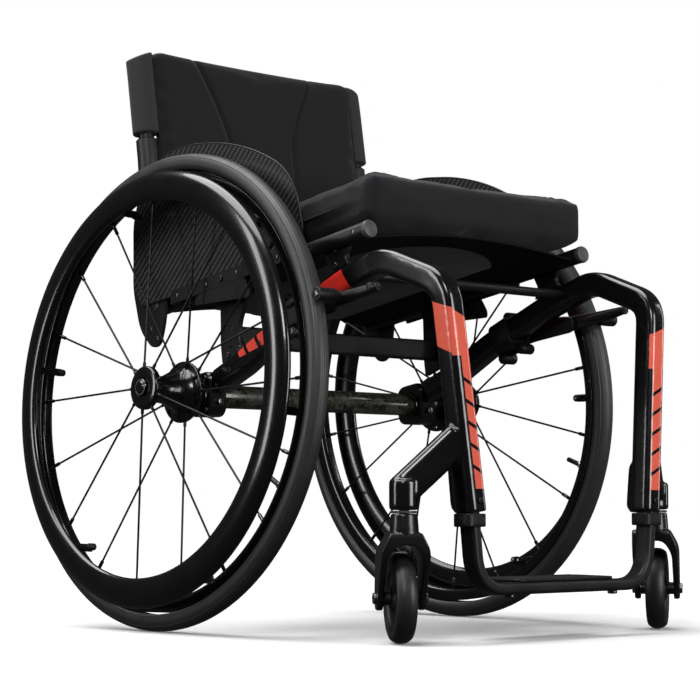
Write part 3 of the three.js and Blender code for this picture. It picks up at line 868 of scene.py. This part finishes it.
def footplate_shapes():
    outline = rounded([(-84, -447.5), (84, -447.5), (96, -372.5), (-96, -372.5)], 12, 8)
    stand = Matrix(((0, 1, 0, 0), (0, 0, 1, 0), (1, 0, 0, 0), (0, 0, 0, 1)))
    shapes = [placed(plate(outline, LEG_LOW + 7.4, LEG_LOW + 10.6, 0.8), stand)]
    for i in range(7):
        y = -440 + i * 10
        shapes.append((moved(rod(-74 - i, 74 + i, 0.7, 8), y=y, z=LEG_LOW + 10.6), 1))
    for x in (-89, 89):
        shapes.append((moved(upright(LEG_LOW - 10.9, LEG_LOW - 6.7, 6, 24, 1.5), x, FRONT_Y), 2))
    return shapes


piece("foot_board", footplate_shapes(), [satin, plastic, bolt_black], "footplate", "footrest")

# ---- casters ----

TRAIL, CASTER_R, FORK_HALF, FORK_LEG = 25, 51, 28, 7


def caster_place(side):
    axis = JOINTS[f"{side}_caster_roll"]["axis"]
    turn = Matrix.Rotation(math.atan2(axis[1], axis[0]), 4, "Z")
    return Matrix.Translation((*spot(f"{side}_caster_swivel")[:2], 0)) @ turn


def fork_shapes():
    return panel([(-17, 125), (17, 125), (31, 103, 12), (TRAIL + 12.5, 51, 9), (TRAIL + 9, 37.5, 8),
                  (TRAIL - 9, 37.5, 8), (TRAIL - 13.5, 53, 9), (-16.5, 99, 14)],
                 6, -FORK_HALF, FORK_HALF, 1.2, 8)


def across(corners):
    """The corners of the other half of a symmetrical outline, in the order that carries it on."""
    return [(-x, *rest) for x, *rest in corners[::-1]]


def fork_arch():
    """The fork from the front: sloping shoulders and an arched opening for the wheel."""
    inner = FORK_HALF - FORK_LEG
    half = [(-FORK_HALF, 30), (-FORK_HALF, 105, 9), (-16.8, 127, 5)]
    opening = [(-inner, 30), (-inner, 95, 8), (-11, 111, 8)]
    face = panel(half + across(half) + across(opening)[::-1] + opening[::-1], 2, -40, 60, 0.5, 8)
    stand = Matrix(((0, 1, 0, 0), (1, 0, 0, 0), (0, 0, 1, 0), (0, 0, 0, 1)))
    return placed(face, stand)


def caster_parts(side):
    at = caster_place(side)
    fork = build(f"{side}_fork_body", [placed(fork_shapes(), at)], [fork_paint])
    cut(fork, [placed(fork_arch(), at)], "INTERSECT")
    cone = lathe([(116, 0), (116, 16.4), (130, 16.4), (144.8, 15.2), (146, 14.4), (146, 0)], 40)
    neck = build("neck", [placed(cone, at @ Matrix.Rotation(-math.pi / 2, 4, "Y"))], [fork_paint])
    fork = joined(fork, neck)
    fuse(fork, 1.0, 4)
    finish_piece(fork, f"{side}_caster_fork", f"{side}_caster")
    ring = [upright(146.3, 149.4, 13.8, 40, 0.6), upright(140, 170, 5.9, 24)]
    teeth = [spun(moved(rod(12, 15, 1.3, 10), z=147.8), k * 30, "Z") for k in range(12)]
    piece(f"{side}_stem_ring", [placed(s, at) for s in ring + teeth], [grey_cap], "", f"{side}_caster")

    def at_hub(shape):
        return placed(moved(shape, y=TRAIL, z=CASTER_R), at)

    axle = [rod(-FORK_HALF - 0.3, FORK_HALF + 0.3, 3.9, 24)]
    axle += [spun(socket_bolt(6.4, 3, FORK_HALF + 0.4), way, "Z") for way in (0, 180)]
    piece(f"{side}_caster_axle", [at_hub(shape) for shape in axle], [dull_steel], f"{side}_caster_bolt",
          f"{side}_caster", "steel")
    half = [(-20.3, 4.6), (-20.3, 7.6, 0.6), (-12, 7.8, 1), (-11.5, 14, 2), (-7.5, 17, 2), (-7, 30, 2),
            (-10.8, 33, 1.5), (-10.8, 37.6, 0.5)]
    wheel = [at_hub(turned(half + across(half), 0, 64))]
    for x in (1, -1):
        section = [(x * 12.4, 4.7), (x * 12.4, 7.4), (x * 20.4, 7.4), (x * 20.4, 4.7)][::x]
        wheel.append((at_hub(lathe(section, 32, closed=True)), 1))
    piece(f"{side}_caster_core", wheel, [plastic, steel], f"{side}_caster_wheel", f"{side}_roller", "plastic")
    half = [(-10.9, 38), (-12.2, 42, 2), (-11.6, 46.5, 4), (-5, 50.8, 4)]
    tread = at_hub(turned(half + across(half), 0.5, 96, 6))
    piece(f"{side}_caster_tread", [tread], [caster_rubber], f"{side}_caster_tyre", f"{side}_roller",
          "caster_rubber")


for side_name, _ in SIDES:
    caster_parts(side_name)

# ---- seat rails, brackets and cross tubes ----

RAIL_X, RAIL_R = 187, 10.5
RAIL_FRONT, RAIL_REAR = (-311.5, 479.1), (101, 412.2)


def rail_z(y):
    return RAIL_REAR[1] + (RAIL_FRONT[1] - RAIL_REAR[1]) / (RAIL_FRONT[0] - RAIL_REAR[0]) * (y - RAIL_REAR[0])


def rail_shapes():
    front, rear = Vector((RAIL_X, *RAIL_FRONT)), Vector((RAIL_X, *RAIL_REAR))
    along = (front - rear).normalized()
    cap = rod_between(front - along * 9, front - along * 0.3, RAIL_R + 0.4, 40, 2.4)
    back_cap = rod_between(rear + along * 6, rear + along * 0.3, RAIL_R + 0.2, 40, 2)
    tube = rod_between(rear + along * 2, front - along * 2, RAIL_R - 0.1, 40)
    shapes = [(tube, 0), (cap, 1), (back_cap, 1)]
    for y in (-290, -215, -140, -65, 10):
        shapes.append((moved(rod(196.5, 198.2, 3.2, 20, 0.8), y=y, z=rail_z(y)), 2))
    return shapes


pair("rail_tube", rail_shapes(), [satin, grey_cap, bolt_black], "{}_seat_rail")


def rear_bracket_shapes():
    rail = rail_z(-50) - RAIL_R - 0.4
    corners = [(-19, rail - 5.2, 2), (-83, rail + 5.2, 2), (-79, rail - 3, 4), (-62, 384, 8), (-62, 362, 8),
               (-74, 350.7, 4), (-52, 341.8, 4), (-28, 333.1, 4), (-24, 360, 8), (-24, 384, 8),
               (-23, rail - 12, 4)]
    screws = bolts(3.8, 2, 182.8, [(-64, 352), (-40, 345), (-35, rail - 13), (-66, rail - 8)])
    return [panel(corners, 3, 176.2, 182.8, 1)] + screws


def front_bracket_shapes():
    under = rail_z(-250) - RAIL_R - 0.4
    corners = [(-228, under - 3.6, 2), (-272, under + 3.5, 2), (-266, 450, 4), (-272, 441, 2), (-230, 425, 2),
               (-236, 440, 4)]
    return [panel(corners, 2, 180.2, 187.8, 1)] + bolts(3.6, 2, 187.8, [(-250, 458), (-250, 440)])


pair("rear_rail_bracket", rear_bracket_shapes(), [satin, bolt_black], "{}_rear_seat_bracket")
pair("front_rail_bracket", front_bracket_shapes(), [satin, bolt_black], "{}_front_seat_bracket")
(X0, Y0, Z0), (X1, Y1, Z1) = (TO_ROW.inverted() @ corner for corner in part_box("rear_cross_tube"))
bar = panel([(Y0, Z0), (Y1, Z0), (Y1, Z1), (Y0, Z1)], 4.5, X0 + 0.2, X1 - 0.2, 1)
piece("rear_stay", [bar], [satin], "rear_cross_tube")
piece("front_stay", [moved(rod(-171.5, 171.5, 5.9, 32), y=-284, z=427)], [satin], "front_cross_tube")

# ---- side guards ----

GUARD_X0, GUARD_X1 = 205.6, 207.6


def guard_outline():
    def foot(y):
        return rail_z(y) - 4
    return rounded([(110, foot(60), 4), (128, 440, 20), (130, 540, 30), (84, 606, 30), (20, 619, 40),
                    (-62, 611, 40), (-122, 594, 40), (-172, 570, 40), (-199, 540, 25), (-213, 486, 8),
                    (-200, foot(-200), 6)], 10, 10)


def guard_shapes():
    outline = guard_outline()
    if area2(outline) < 0:
        outline = outline[::-1]
    sheet = plate(outline, GUARD_X0, GUARD_X1, 0.4)
    middle = (GUARD_X0 + GUARD_X1) / 2
    rim = [Vector((middle, p.x, p.y)) for p in inset(outline, 0.9)]
    bead = [(math.cos(TAU * k / 10) * 1.2, math.sin(TAU * k / 10) * 1.5) for k in range(10)]
    lip = sweep(rim, bead, closed=True)
    return [(sheet, 0), (lip, 1)]


pair("guard_panel", guard_shapes(), [carbon, satin], "{}_side_guard", "frame")


def guard_bracket_shapes():
    x = GUARD_X1 + 0.35
    strip = [(44, rail_z(44) - 9), (44, rail_z(44) + 9), (-176, rail_z(-176) + 9), (-176, rail_z(-176) - 9)]
    low_strip = [(-7, 408), (-7, 417), (-20, rail_z(-20) - 7), (-104, rail_z(-104) - 7), (-116, 420),
                 (-116, 411)]
    shapes = [(panel(strip, 4, x, x + 3, 0.6), 0), (panel(low_strip, 4, x, x + 2.6, 0.6), 0)]
    for y in (-168, -150, -120, -90, -60, -30, 0, 30):
        radius, tall = (4.2, 2.4) if y in (-150, -60) else (3, 1.4)
        shapes += bolts(radius, tall, x + 3, [(y, rail_z(y))])
    for y in (-60, -150):
        shapes.append(moved(rod(197.9, x + 1, 4, 20), y=y, z=rail_z(y)))
    return shapes


pair("guard_strip", guard_bracket_shapes(), [satin, bolt_black, plastic], "{}_guard_bracket")

# ---- folding backrest ----

POST_X, POST_R, SLEEVE_R = 187.5, 10.5, 17.7
BEND, TOP = (123, 606), (145.9, 748)
PIVOT = spot("backrest_fold")[1:]


def back_line(z):
    return BEND[0] + (TOP[0] - BEND[0]) * (z - BEND[1]) / (TOP[1] - BEND[1])


def round_section(radius, steps=28):
    return [(radius * math.cos(TAU * k / steps), radius * math.sin(TAU * k / steps)) for k in range(steps)]


def post_shapes():
    path = bent([(POST_X, 122.5, 442), (POST_X, *BEND, 160), (POST_X, *TOP)], 12)
    tube = sweep(finely(path, 10), round_section(POST_R - 0.1, 36))
    ring = rod_between((POST_X, 122.6, 470), (POST_X, 122.6, 482), 12.4, 36, 1.4)
    top_cap = rod_between((POST_X, back_line(747), 747), (POST_X, back_line(753), 753), POST_R, 36, 2)
    heights = (520, 521.5, 560, 600, 615, 630, 640, 641.5)
    lower = [Vector((POST_X, back_line(max(z, BEND[1])), z)) for z in heights]
    cover = sweep(lower, lambda t: round_section(12.6 if at_end(t) else 14.2, 36))
    tab = sweep([Vector((POST_X, back_line(z) + 13.5, z)) for z in (626, 627, 640, 641)],
                lambda t: box_section(6, 6 - 3 * at_end(t), 1))
    return [(tube, 0), (ring, 1), (top_cap, 1), (cover, 2), (tab, 3)]


pair("cane", post_shapes(), [satin, grey_cap, plastic, red_tab], "{}_back_post", "backrest")


def back_bracket_shapes():
    leaf = panel([(60, 424, 8), (64, 392, 14), (74, 362, 10), (92, 360, 10), (118, 384, 18), (134, 440, 14),
                  (134, 510, 5), (112, 510, 5), (108, 448, 14)], 6, 200.2, 204.4, 0.9, 8)
    boss = panel([(112, 425), (133, 425), (133, 441.5), (112, 441.5)], 3, 178, 201, 1)
    shapes = [(leaf, 0), (boss, 0), (moved(rod(197.9, 201, 6, 24), y=PIVOT[0], z=PIVOT[1]), 0)]
    shapes += bolts(6.5, 0.9, 204.4, [PIVOT])
    return shapes + bolts(3.6, 0.9, 204.4, [(122.5, 498), (122.5, 470), (122, 433), (94, 385), (80, 372)])


pair("fold_plate", back_bracket_shapes(), [satin, bolt_black], "{}_back_bracket", "backrest")
back_bar = moved(rod(-177.6, 177.6, 7.9, 40), y=122.5, z=433)
piece("back_stay", [back_bar], [satin], "back_crossbar", "backrest")

# ---- wheel locks ----

BX, BY, BZ = spot("left_brake_lever")


def brake_bracket_shapes():
    """A band round the frame tube with a pinch lug above and below, and the arm out to the lever's pivot."""
    line = [Vector((FRAME_X, y, z)) for y, z in ((-161, 375.6), (-163, 376.4), (-188, 387), (-190, 387.8))]
    band = sweep(line, lambda t: box_section(35 - 2 * at_end(t), 39 - 2 * at_end(t), 9))
    clamp = panel([(-206, 412), (-168, 396), (-160, 352), (-198, 368)], 8, 199.1, 208, 1.6, 8)
    arm = panel([(-165, 362, 6), (-200, 405, 8), (BY - 12, BZ + 10, 10), (BY - 12, BZ - 10, 10),
                 (-200, 372, 10)], 6, 205, 211, 1.2, 8)
    shapes = [(band, 0), (clamp, 0), (arm, 0), (moved(rod(208, BX + 6, 5, 24), y=BY, z=BZ), 1)]
    for y, z, radius in ((-172, 406, 7), (-164, 352, 8), (-196, 363, 7)):
        shapes.append(moved(rod(188, 210.5, radius, 28, 1.5), y=y, z=z))
        shapes += bolts(4.2, 2, 210.5, [(y, z)])
    return shapes + bolts(3.4, 2, 208, [(-196, 399), (-178, 383)])


def brake_lever_shapes():
    hub = panel([(BY + 12, BZ - 11, 8), (BY + 12, BZ + 10, 8), (BY - 35, BZ + 13, 5), (BY - 94, BZ + 18, 5),
                 (BY - 94, BZ + 8, 5), (BY - 35, BZ - 3, 5)], 6, 212.2, 216.8, 1, 8)
    line = [Vector((x, BY + dy, BZ + dz)) for x, dy, dz in ((216, -22, 4), (217, -60, 8), (216, -93, 13))]
    grip = sweep(finely(line, 5),
                 lambda t: round_section(3.4 + 3.2 * math.sin(math.pi * min(max(t, 0.03), 0.9)) ** 0.6, 24))
    shapes = [(hub, 0), (grip, 2), (moved(rod(214, 226, 4.8, 32, 1.6), y=BY - 86, z=BZ + 13), 2),
              (moved(rod(214, 262, 3.9, 24), y=BY - 35, z=BZ + 6), 1)]
    return shapes + bolts(2.8, 1.8, 216.8, [(BY + dy, BZ + dz) for dy, dz in ((7, 5), (7, -6), (-8, 7))])


def shoe_shapes():
    body = turned([(231, 4.4), (231, 8, 1.5), (260, 8, 1.5), (260, 4.4)], 0, 40)
    rings = [lathe([(x, 4.4), (x, 8.3), (x + 1, 8.3), (x + 1, 4.4)], 40, closed=True)
             for x in (236, 243, 250)]
    return [moved(s, y=BY - 35, z=BZ + 6) for s in [body] + rings]


pair("lock_bracket", brake_bracket_shapes(), [satin, bolt_black], "{}_brake_bracket")
pair("lock_lever", brake_lever_shapes(), [satin, bolt_black, plastic], "{}_brake_lever", "{}_brake")
pair("lock_roller", shoe_shapes(), [satin], "{}_brake_shoe", "{}_brake")

# ---- soft goods ----


def ramp(value, start, span):
    """From 0 at the start to 1 a span further on."""
    return np.clip((value - start) / span, 0, 1)


def puff(piece_, voxel, pressure, cap, frames=20):
    """Swells a closed piece under its own pressure as cloth, and limits how far a point may go."""
    remesh = piece_.modifiers.new("remesh", "REMESH")
    remesh.mode = "VOXEL"
    remesh.voxel_size = voxel / 1000
    freeze(piece_)
    rest = coordinates(piece_.data)
    cloth = piece_.modifiers.new("cloth", "CLOTH")
    cloth.settings.use_pressure = True
    cloth.settings.uniform_pressure_force = pressure
    cloth.settings.effector_weights.gravity = 0
    cloth.settings.quality = 5
    cloth.point_cache.frame_start, cloth.point_cache.frame_end = 1, frames
    scene = bpy.context.scene
    for number in range(1, frames + 1):
        scene.frame_set(number)
        view = bpy.context.evaluated_depsgraph_get()
        piece_.evaluated_get(view)
    swollen = coordinates(piece_.evaluated_get(view).data)
    piece_.modifiers.remove(cloth)
    scene.frame_set(1)
    shift = swollen - rest
    far = np.linalg.norm(shift, axis=1, keepdims=True)
    shift *= np.minimum(1, cap / 1000 / np.maximum(far, 1e-9))
    set_coordinates(piece_.data, rest + shift)


def subdivided(piece_, levels=1):
    divide = piece_.modifiers.new("divide", "SUBSURF")
    divide.levels = divide.render_levels = levels
    freeze(piece_)
    smooth(piece_, 180)


def slab(half, front, rear, bottom, top, corner):
    """A seat-shaped block along the rails."""
    corners = [(front, rail_z(front) + bottom), (front, rail_z(front) + top), (rear, rail_z(rear) + top),
               (rear, rail_z(rear) + bottom)]
    return panel(corners, corner, -half, half, 6, 6)


WEB_HALF = RAIL_X - RAIL_R - 1.5


def web_top(x):
    """The height of the seat web over the rail line: it sags between the rails."""
    return 7.2 - 13.5 * (1 - (x / WEB_HALF) ** 2)


def give_way(soft):
    """Gives a soft piece a mesh of its own. It works out the rails' rise and a foot point, but moves nothing.
    """
    rise = rail_z(1) - rail_z(0)
    foot = Vector((0, AXLE_Y, rail_z(0) + RAIL_R + 1.2)) / 1000
    -rise
    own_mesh(soft)


def make_cushion():
    bottom, thick = RAIL_R + 1.2, 66
    cushion = build("seat_pad", [slab(180, -303, 96, bottom, bottom + thick - 7, 7)], [seat_cloth])
    puff(cushion, 6, 4.0, 9)
    subdivided(cushion)
    x, y, z = read_places(cushion)
    height = z - rail_z(y)
    # the cover is pulled to its cut size; the underside rests on the rails and follows the web between them
    x *= 187 / np.abs(x).max()
    y = np.interp(y, (y.min(), y.max()), (-310.5, 102.5))
    height = np.interp(height, (height.min(), height.max()), (bottom - 3, bottom + thick + 0.5))
    over_rail = ramp(np.abs(x), 158, 16)
    under = bottom * over_rail + (web_top(x) + 1) * (1 - over_rail)
    height = np.maximum(height, bottom)
    behind = ramp(y, -275, 60)
    height = height + (under - bottom) * behind * (1 - ramp(height, bottom, 25))
    middle = (1 - ramp(np.abs(x), 0, 186) ** 2.2) * (1 - ramp(np.abs(y + 100), 0, 206) ** 2.2)
    upper = ramp(height, bottom + 20, 30)
    height = height + upper * (middle * 4 - 1.5)
    side = np.abs(x) > 150
    pull = 2.5 * np.cos(np.clip((y + 100) / 200, -1, 1) * math.pi / 2) ** 2
    pull = pull + 5 * ramp(bottom + 29 - height, 0, 8) * ramp(y, -290, 40)
    x = np.where(side, x - np.sign(x) * pull * ramp(np.abs(x), 150, 30), x)
    front = ramp(-y, 270, 30)
    y = y + front * 3 * np.cos(np.clip(x / 180, -1, 1) * math.pi / 2) ** 2
    # small gathers fan out from the front corners
    reach = np.hypot(np.abs(x) - 178, y + 300)
    fan = np.arctan2(np.abs(x) - 130, -(y + 300) + 0.01)
    height = height + 1.1 * np.sin(fan * 16) * np.exp(-(reach / 45) ** 2) * upper
    write_places(cushion, x, y, height + rail_z(y))
    give_way(cushion)
    finish_piece(cushion, "seat_cushion", "frame")


def side_piping():
    """A cord along each side of the cushion, where the side panel meets the base."""
    height = RAIL_R + 31
    path = [Vector((183.6 - 2.3 * math.cos(math.pi / 2 * (y + 100) / 205) ** 2, y, rail_z(y) + height))
            for y in range(-288, 90, 8)]
    return sweep(path, round_section(1.5, 8), (0, 0, 1))


def make_back():
    """The back pad stands in front of the canes and closes round the front of their sleeves."""
    half = 174
    corners = [(105, 464, 4), (121, 464, 4), (122, 604, 20), (148, 766, 5), (132, 768, 5), (105.5, 606, 20)]
    back = build("back_pad", [panel(corners, 5, -half, half, 3, 6)], [back_cloth])
    puff(back, 5, 3.0, 5)
    subdivided(back)
    x, y, z = read_places(back)
    line = np.where(z < BEND[1], BEND[0], back_line(z))
    x *= 179 / np.abs(x).max()
    # the edges are hollowed for the sleeves: nothing of the pad comes closer to a cane than its sleeve
    room = np.where(z < 645, 14.7, SLEEVE_R + 0.4)
    near_cane = np.clip(room ** 2 - (POST_X - np.abs(x)) ** 2, 0, None) ** 0.5
    y = np.where(near_cane > 0, np.minimum(y, line - near_cane), y)
    front = ramp(line - y, 9, 6)
    # two seams run down the front; the panels between them are a little crowned
    seam = 57 + 47 * ramp(z, 650, 110) ** 1.35
    near = np.abs(np.abs(x) - seam)
    y = y + front * 4.5 * np.exp(-(near / 3.5) ** 2)
    crown = np.cos(np.clip(x / half, -1, 1) * math.pi / 2)
    y = y + front * 5 * crown
    z = z - 12 * ramp(np.abs(x), 150, 29) ** 3 * ramp(z, 730, 38)
    write_places(back, x, y, z)
    finish_piece(back, "back_upholstery", "backrest")


def post_pad_shapes():
    heights = (648, 649, 652, 670, 690, 705, 720, 735, 745, 752, 756, 757)
    path = [Vector((POST_X, back_line(z), z)) for z in heights]
    return sweep(path, lambda t: round_section({0.0: 15.5, 1.0: 12.5}.get(t, SLEEVE_R), 40))


def shape_sleeve(one, _sign):
    """The top of the sleeve rises towards the pad, like a pocket that is pulled over the cane."""
    subdivided(one, 2)
    x, y, z = read_places(one)
    inward = (POST_X - np.abs(x)) / SLEEVE_R
    write_places(one, x, y, z + 7 * inward * ramp(z, 715, 42) ** 2)


make_cushion()
for piping in pair("seat_piping", [side_piping()], [seat_cloth], "", "frame"):
    give_way(piping)
make_back()
for sleeve in pair("cane_sleeve", [post_pad_shapes()], [sleeve_cloth_painted_light], "{}_post_pad", "backrest",
                   make=shape_sleeve):
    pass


def sling_shape():
    """The seat web hangs in a shallow curve between the rails."""
    count = 24
    stations = [WEB_HALF * (2 * k / count - 1) for k in range(count + 1)]
    section = [(x, web_top(x) - 2.2) for x in stations] + [(x, web_top(x)) for x in stations[::-1]]
    line = [Vector((0, y, rail_z(y))) for y in range(-299, 88, 12)]
    return sweep(line, section)


sling = piece("seat_web", [sling_shape()], [web_cloth_painted_shade], "seat_sling", "frame", "fabric")

# ---- floor, lights, camera ----


def floor_material():
    look = Look("pale_floor")
    look.color(look.noise(300, 3), (0.95, 0.95, 0.95), (0.98, 0.98, 0.98))
    look.set("Roughness", 0.6)
    look.set("Emission Color", (1, 1, 1))
    look.set("Emission Strength", 0.08)
    return look.material


ground = bpy.data.meshes.new("floor")
corners = [(x * 30, y * 30, -0.0005) for x, y in ((-1, -1), (1, -1), (1, 1), (-1, 1))]
ground.from_pydata(corners, [], [(0, 1, 2, 3)])
ground.materials.append(floor_material())
floor = add("floor", ground)

world = bpy.data.worlds.new("studio")
bpy.context.scene.world = world
world.use_nodes = True
sky = world.node_tree
choose = sky.nodes.new("ShaderNodeMixShader")
sky.links.new(sky.nodes.new("ShaderNodeLightPath").outputs["Is Camera Ray"], choose.inputs[0])
sky.links.new(choose.outputs[0], sky.nodes["World Output"].inputs[0])
# the first strength lights the object, the second is what the camera sees
for number, strength in ((1, 0.04), (2, 1.0)):
    background = sky.nodes.new("ShaderNodeBackground")
    background.inputs[0].default_value = (1, 1, 1, 1)
    background.inputs[1].default_value = strength
    sky.links.new(background.outputs[0], choose.inputs[number])
sky.nodes.remove(sky.nodes["Background"])
floor.visible_glossy = False
floor.visible_diffuse = False


def area_light(name, at, target, size, power):
    data = bpy.data.lights.new(name, "AREA")
    data.shape = "RECTANGLE"
    data.size, data.size_y = size
    data.energy = power
    lamp = add(name, data)
    lamp.location = at
    lamp.rotation_mode = "QUATERNION"
    lamp.rotation_quaternion = (Vector(target) - Vector(at)).to_track_quat("-Z", "Y")


sun = bpy.data.lights.new("overhead", "SUN")
sun.energy, sun.angle = 3.6, math.radians(55)
overhead = add("overhead", sun)
overhead.rotation_euler = (math.radians(-14), math.radians(-12), 0)
area_light("strip_left", (-2.3, 0.9, 1.1), (0, 0, 0.4), (0.5, 2.0), 20)
area_light("softbox_front", (0.5, -2.9, 0.8), (0, -0.3, 0.35), (1.1, 1.7), 40)
area_light("strip_right", (2.4, -1.2, 1.0), (0, 0, 0.4), (0.3, 1.8), 8)
area_light("key", (-2.4, -1.9, 2.0), (0, 0, 0.5), (0.9, 0.9), 30)

camera_data = bpy.data.cameras.new("camera")
camera_data.lens = 107.3
camera_data.sensor_width = 36
camera = add("camera", camera_data)
RIGHT = Vector((0.74104, -0.67146, -0.00045))
UP = Vector((-0.04974, -0.05556, 0.99722))
AHEAD = Vector((0.66961, 0.73896, 0.07457))
turn = Matrix((RIGHT, UP, -AHEAD)).transposed()
camera.matrix_world = Matrix.Translation((-1.8339, -2.0146, 0.1547)) @ turn.to_4x4()
bpy.context.scene.camera = camera
bpy.context.scene.view_settings.view_transform = "Standard"
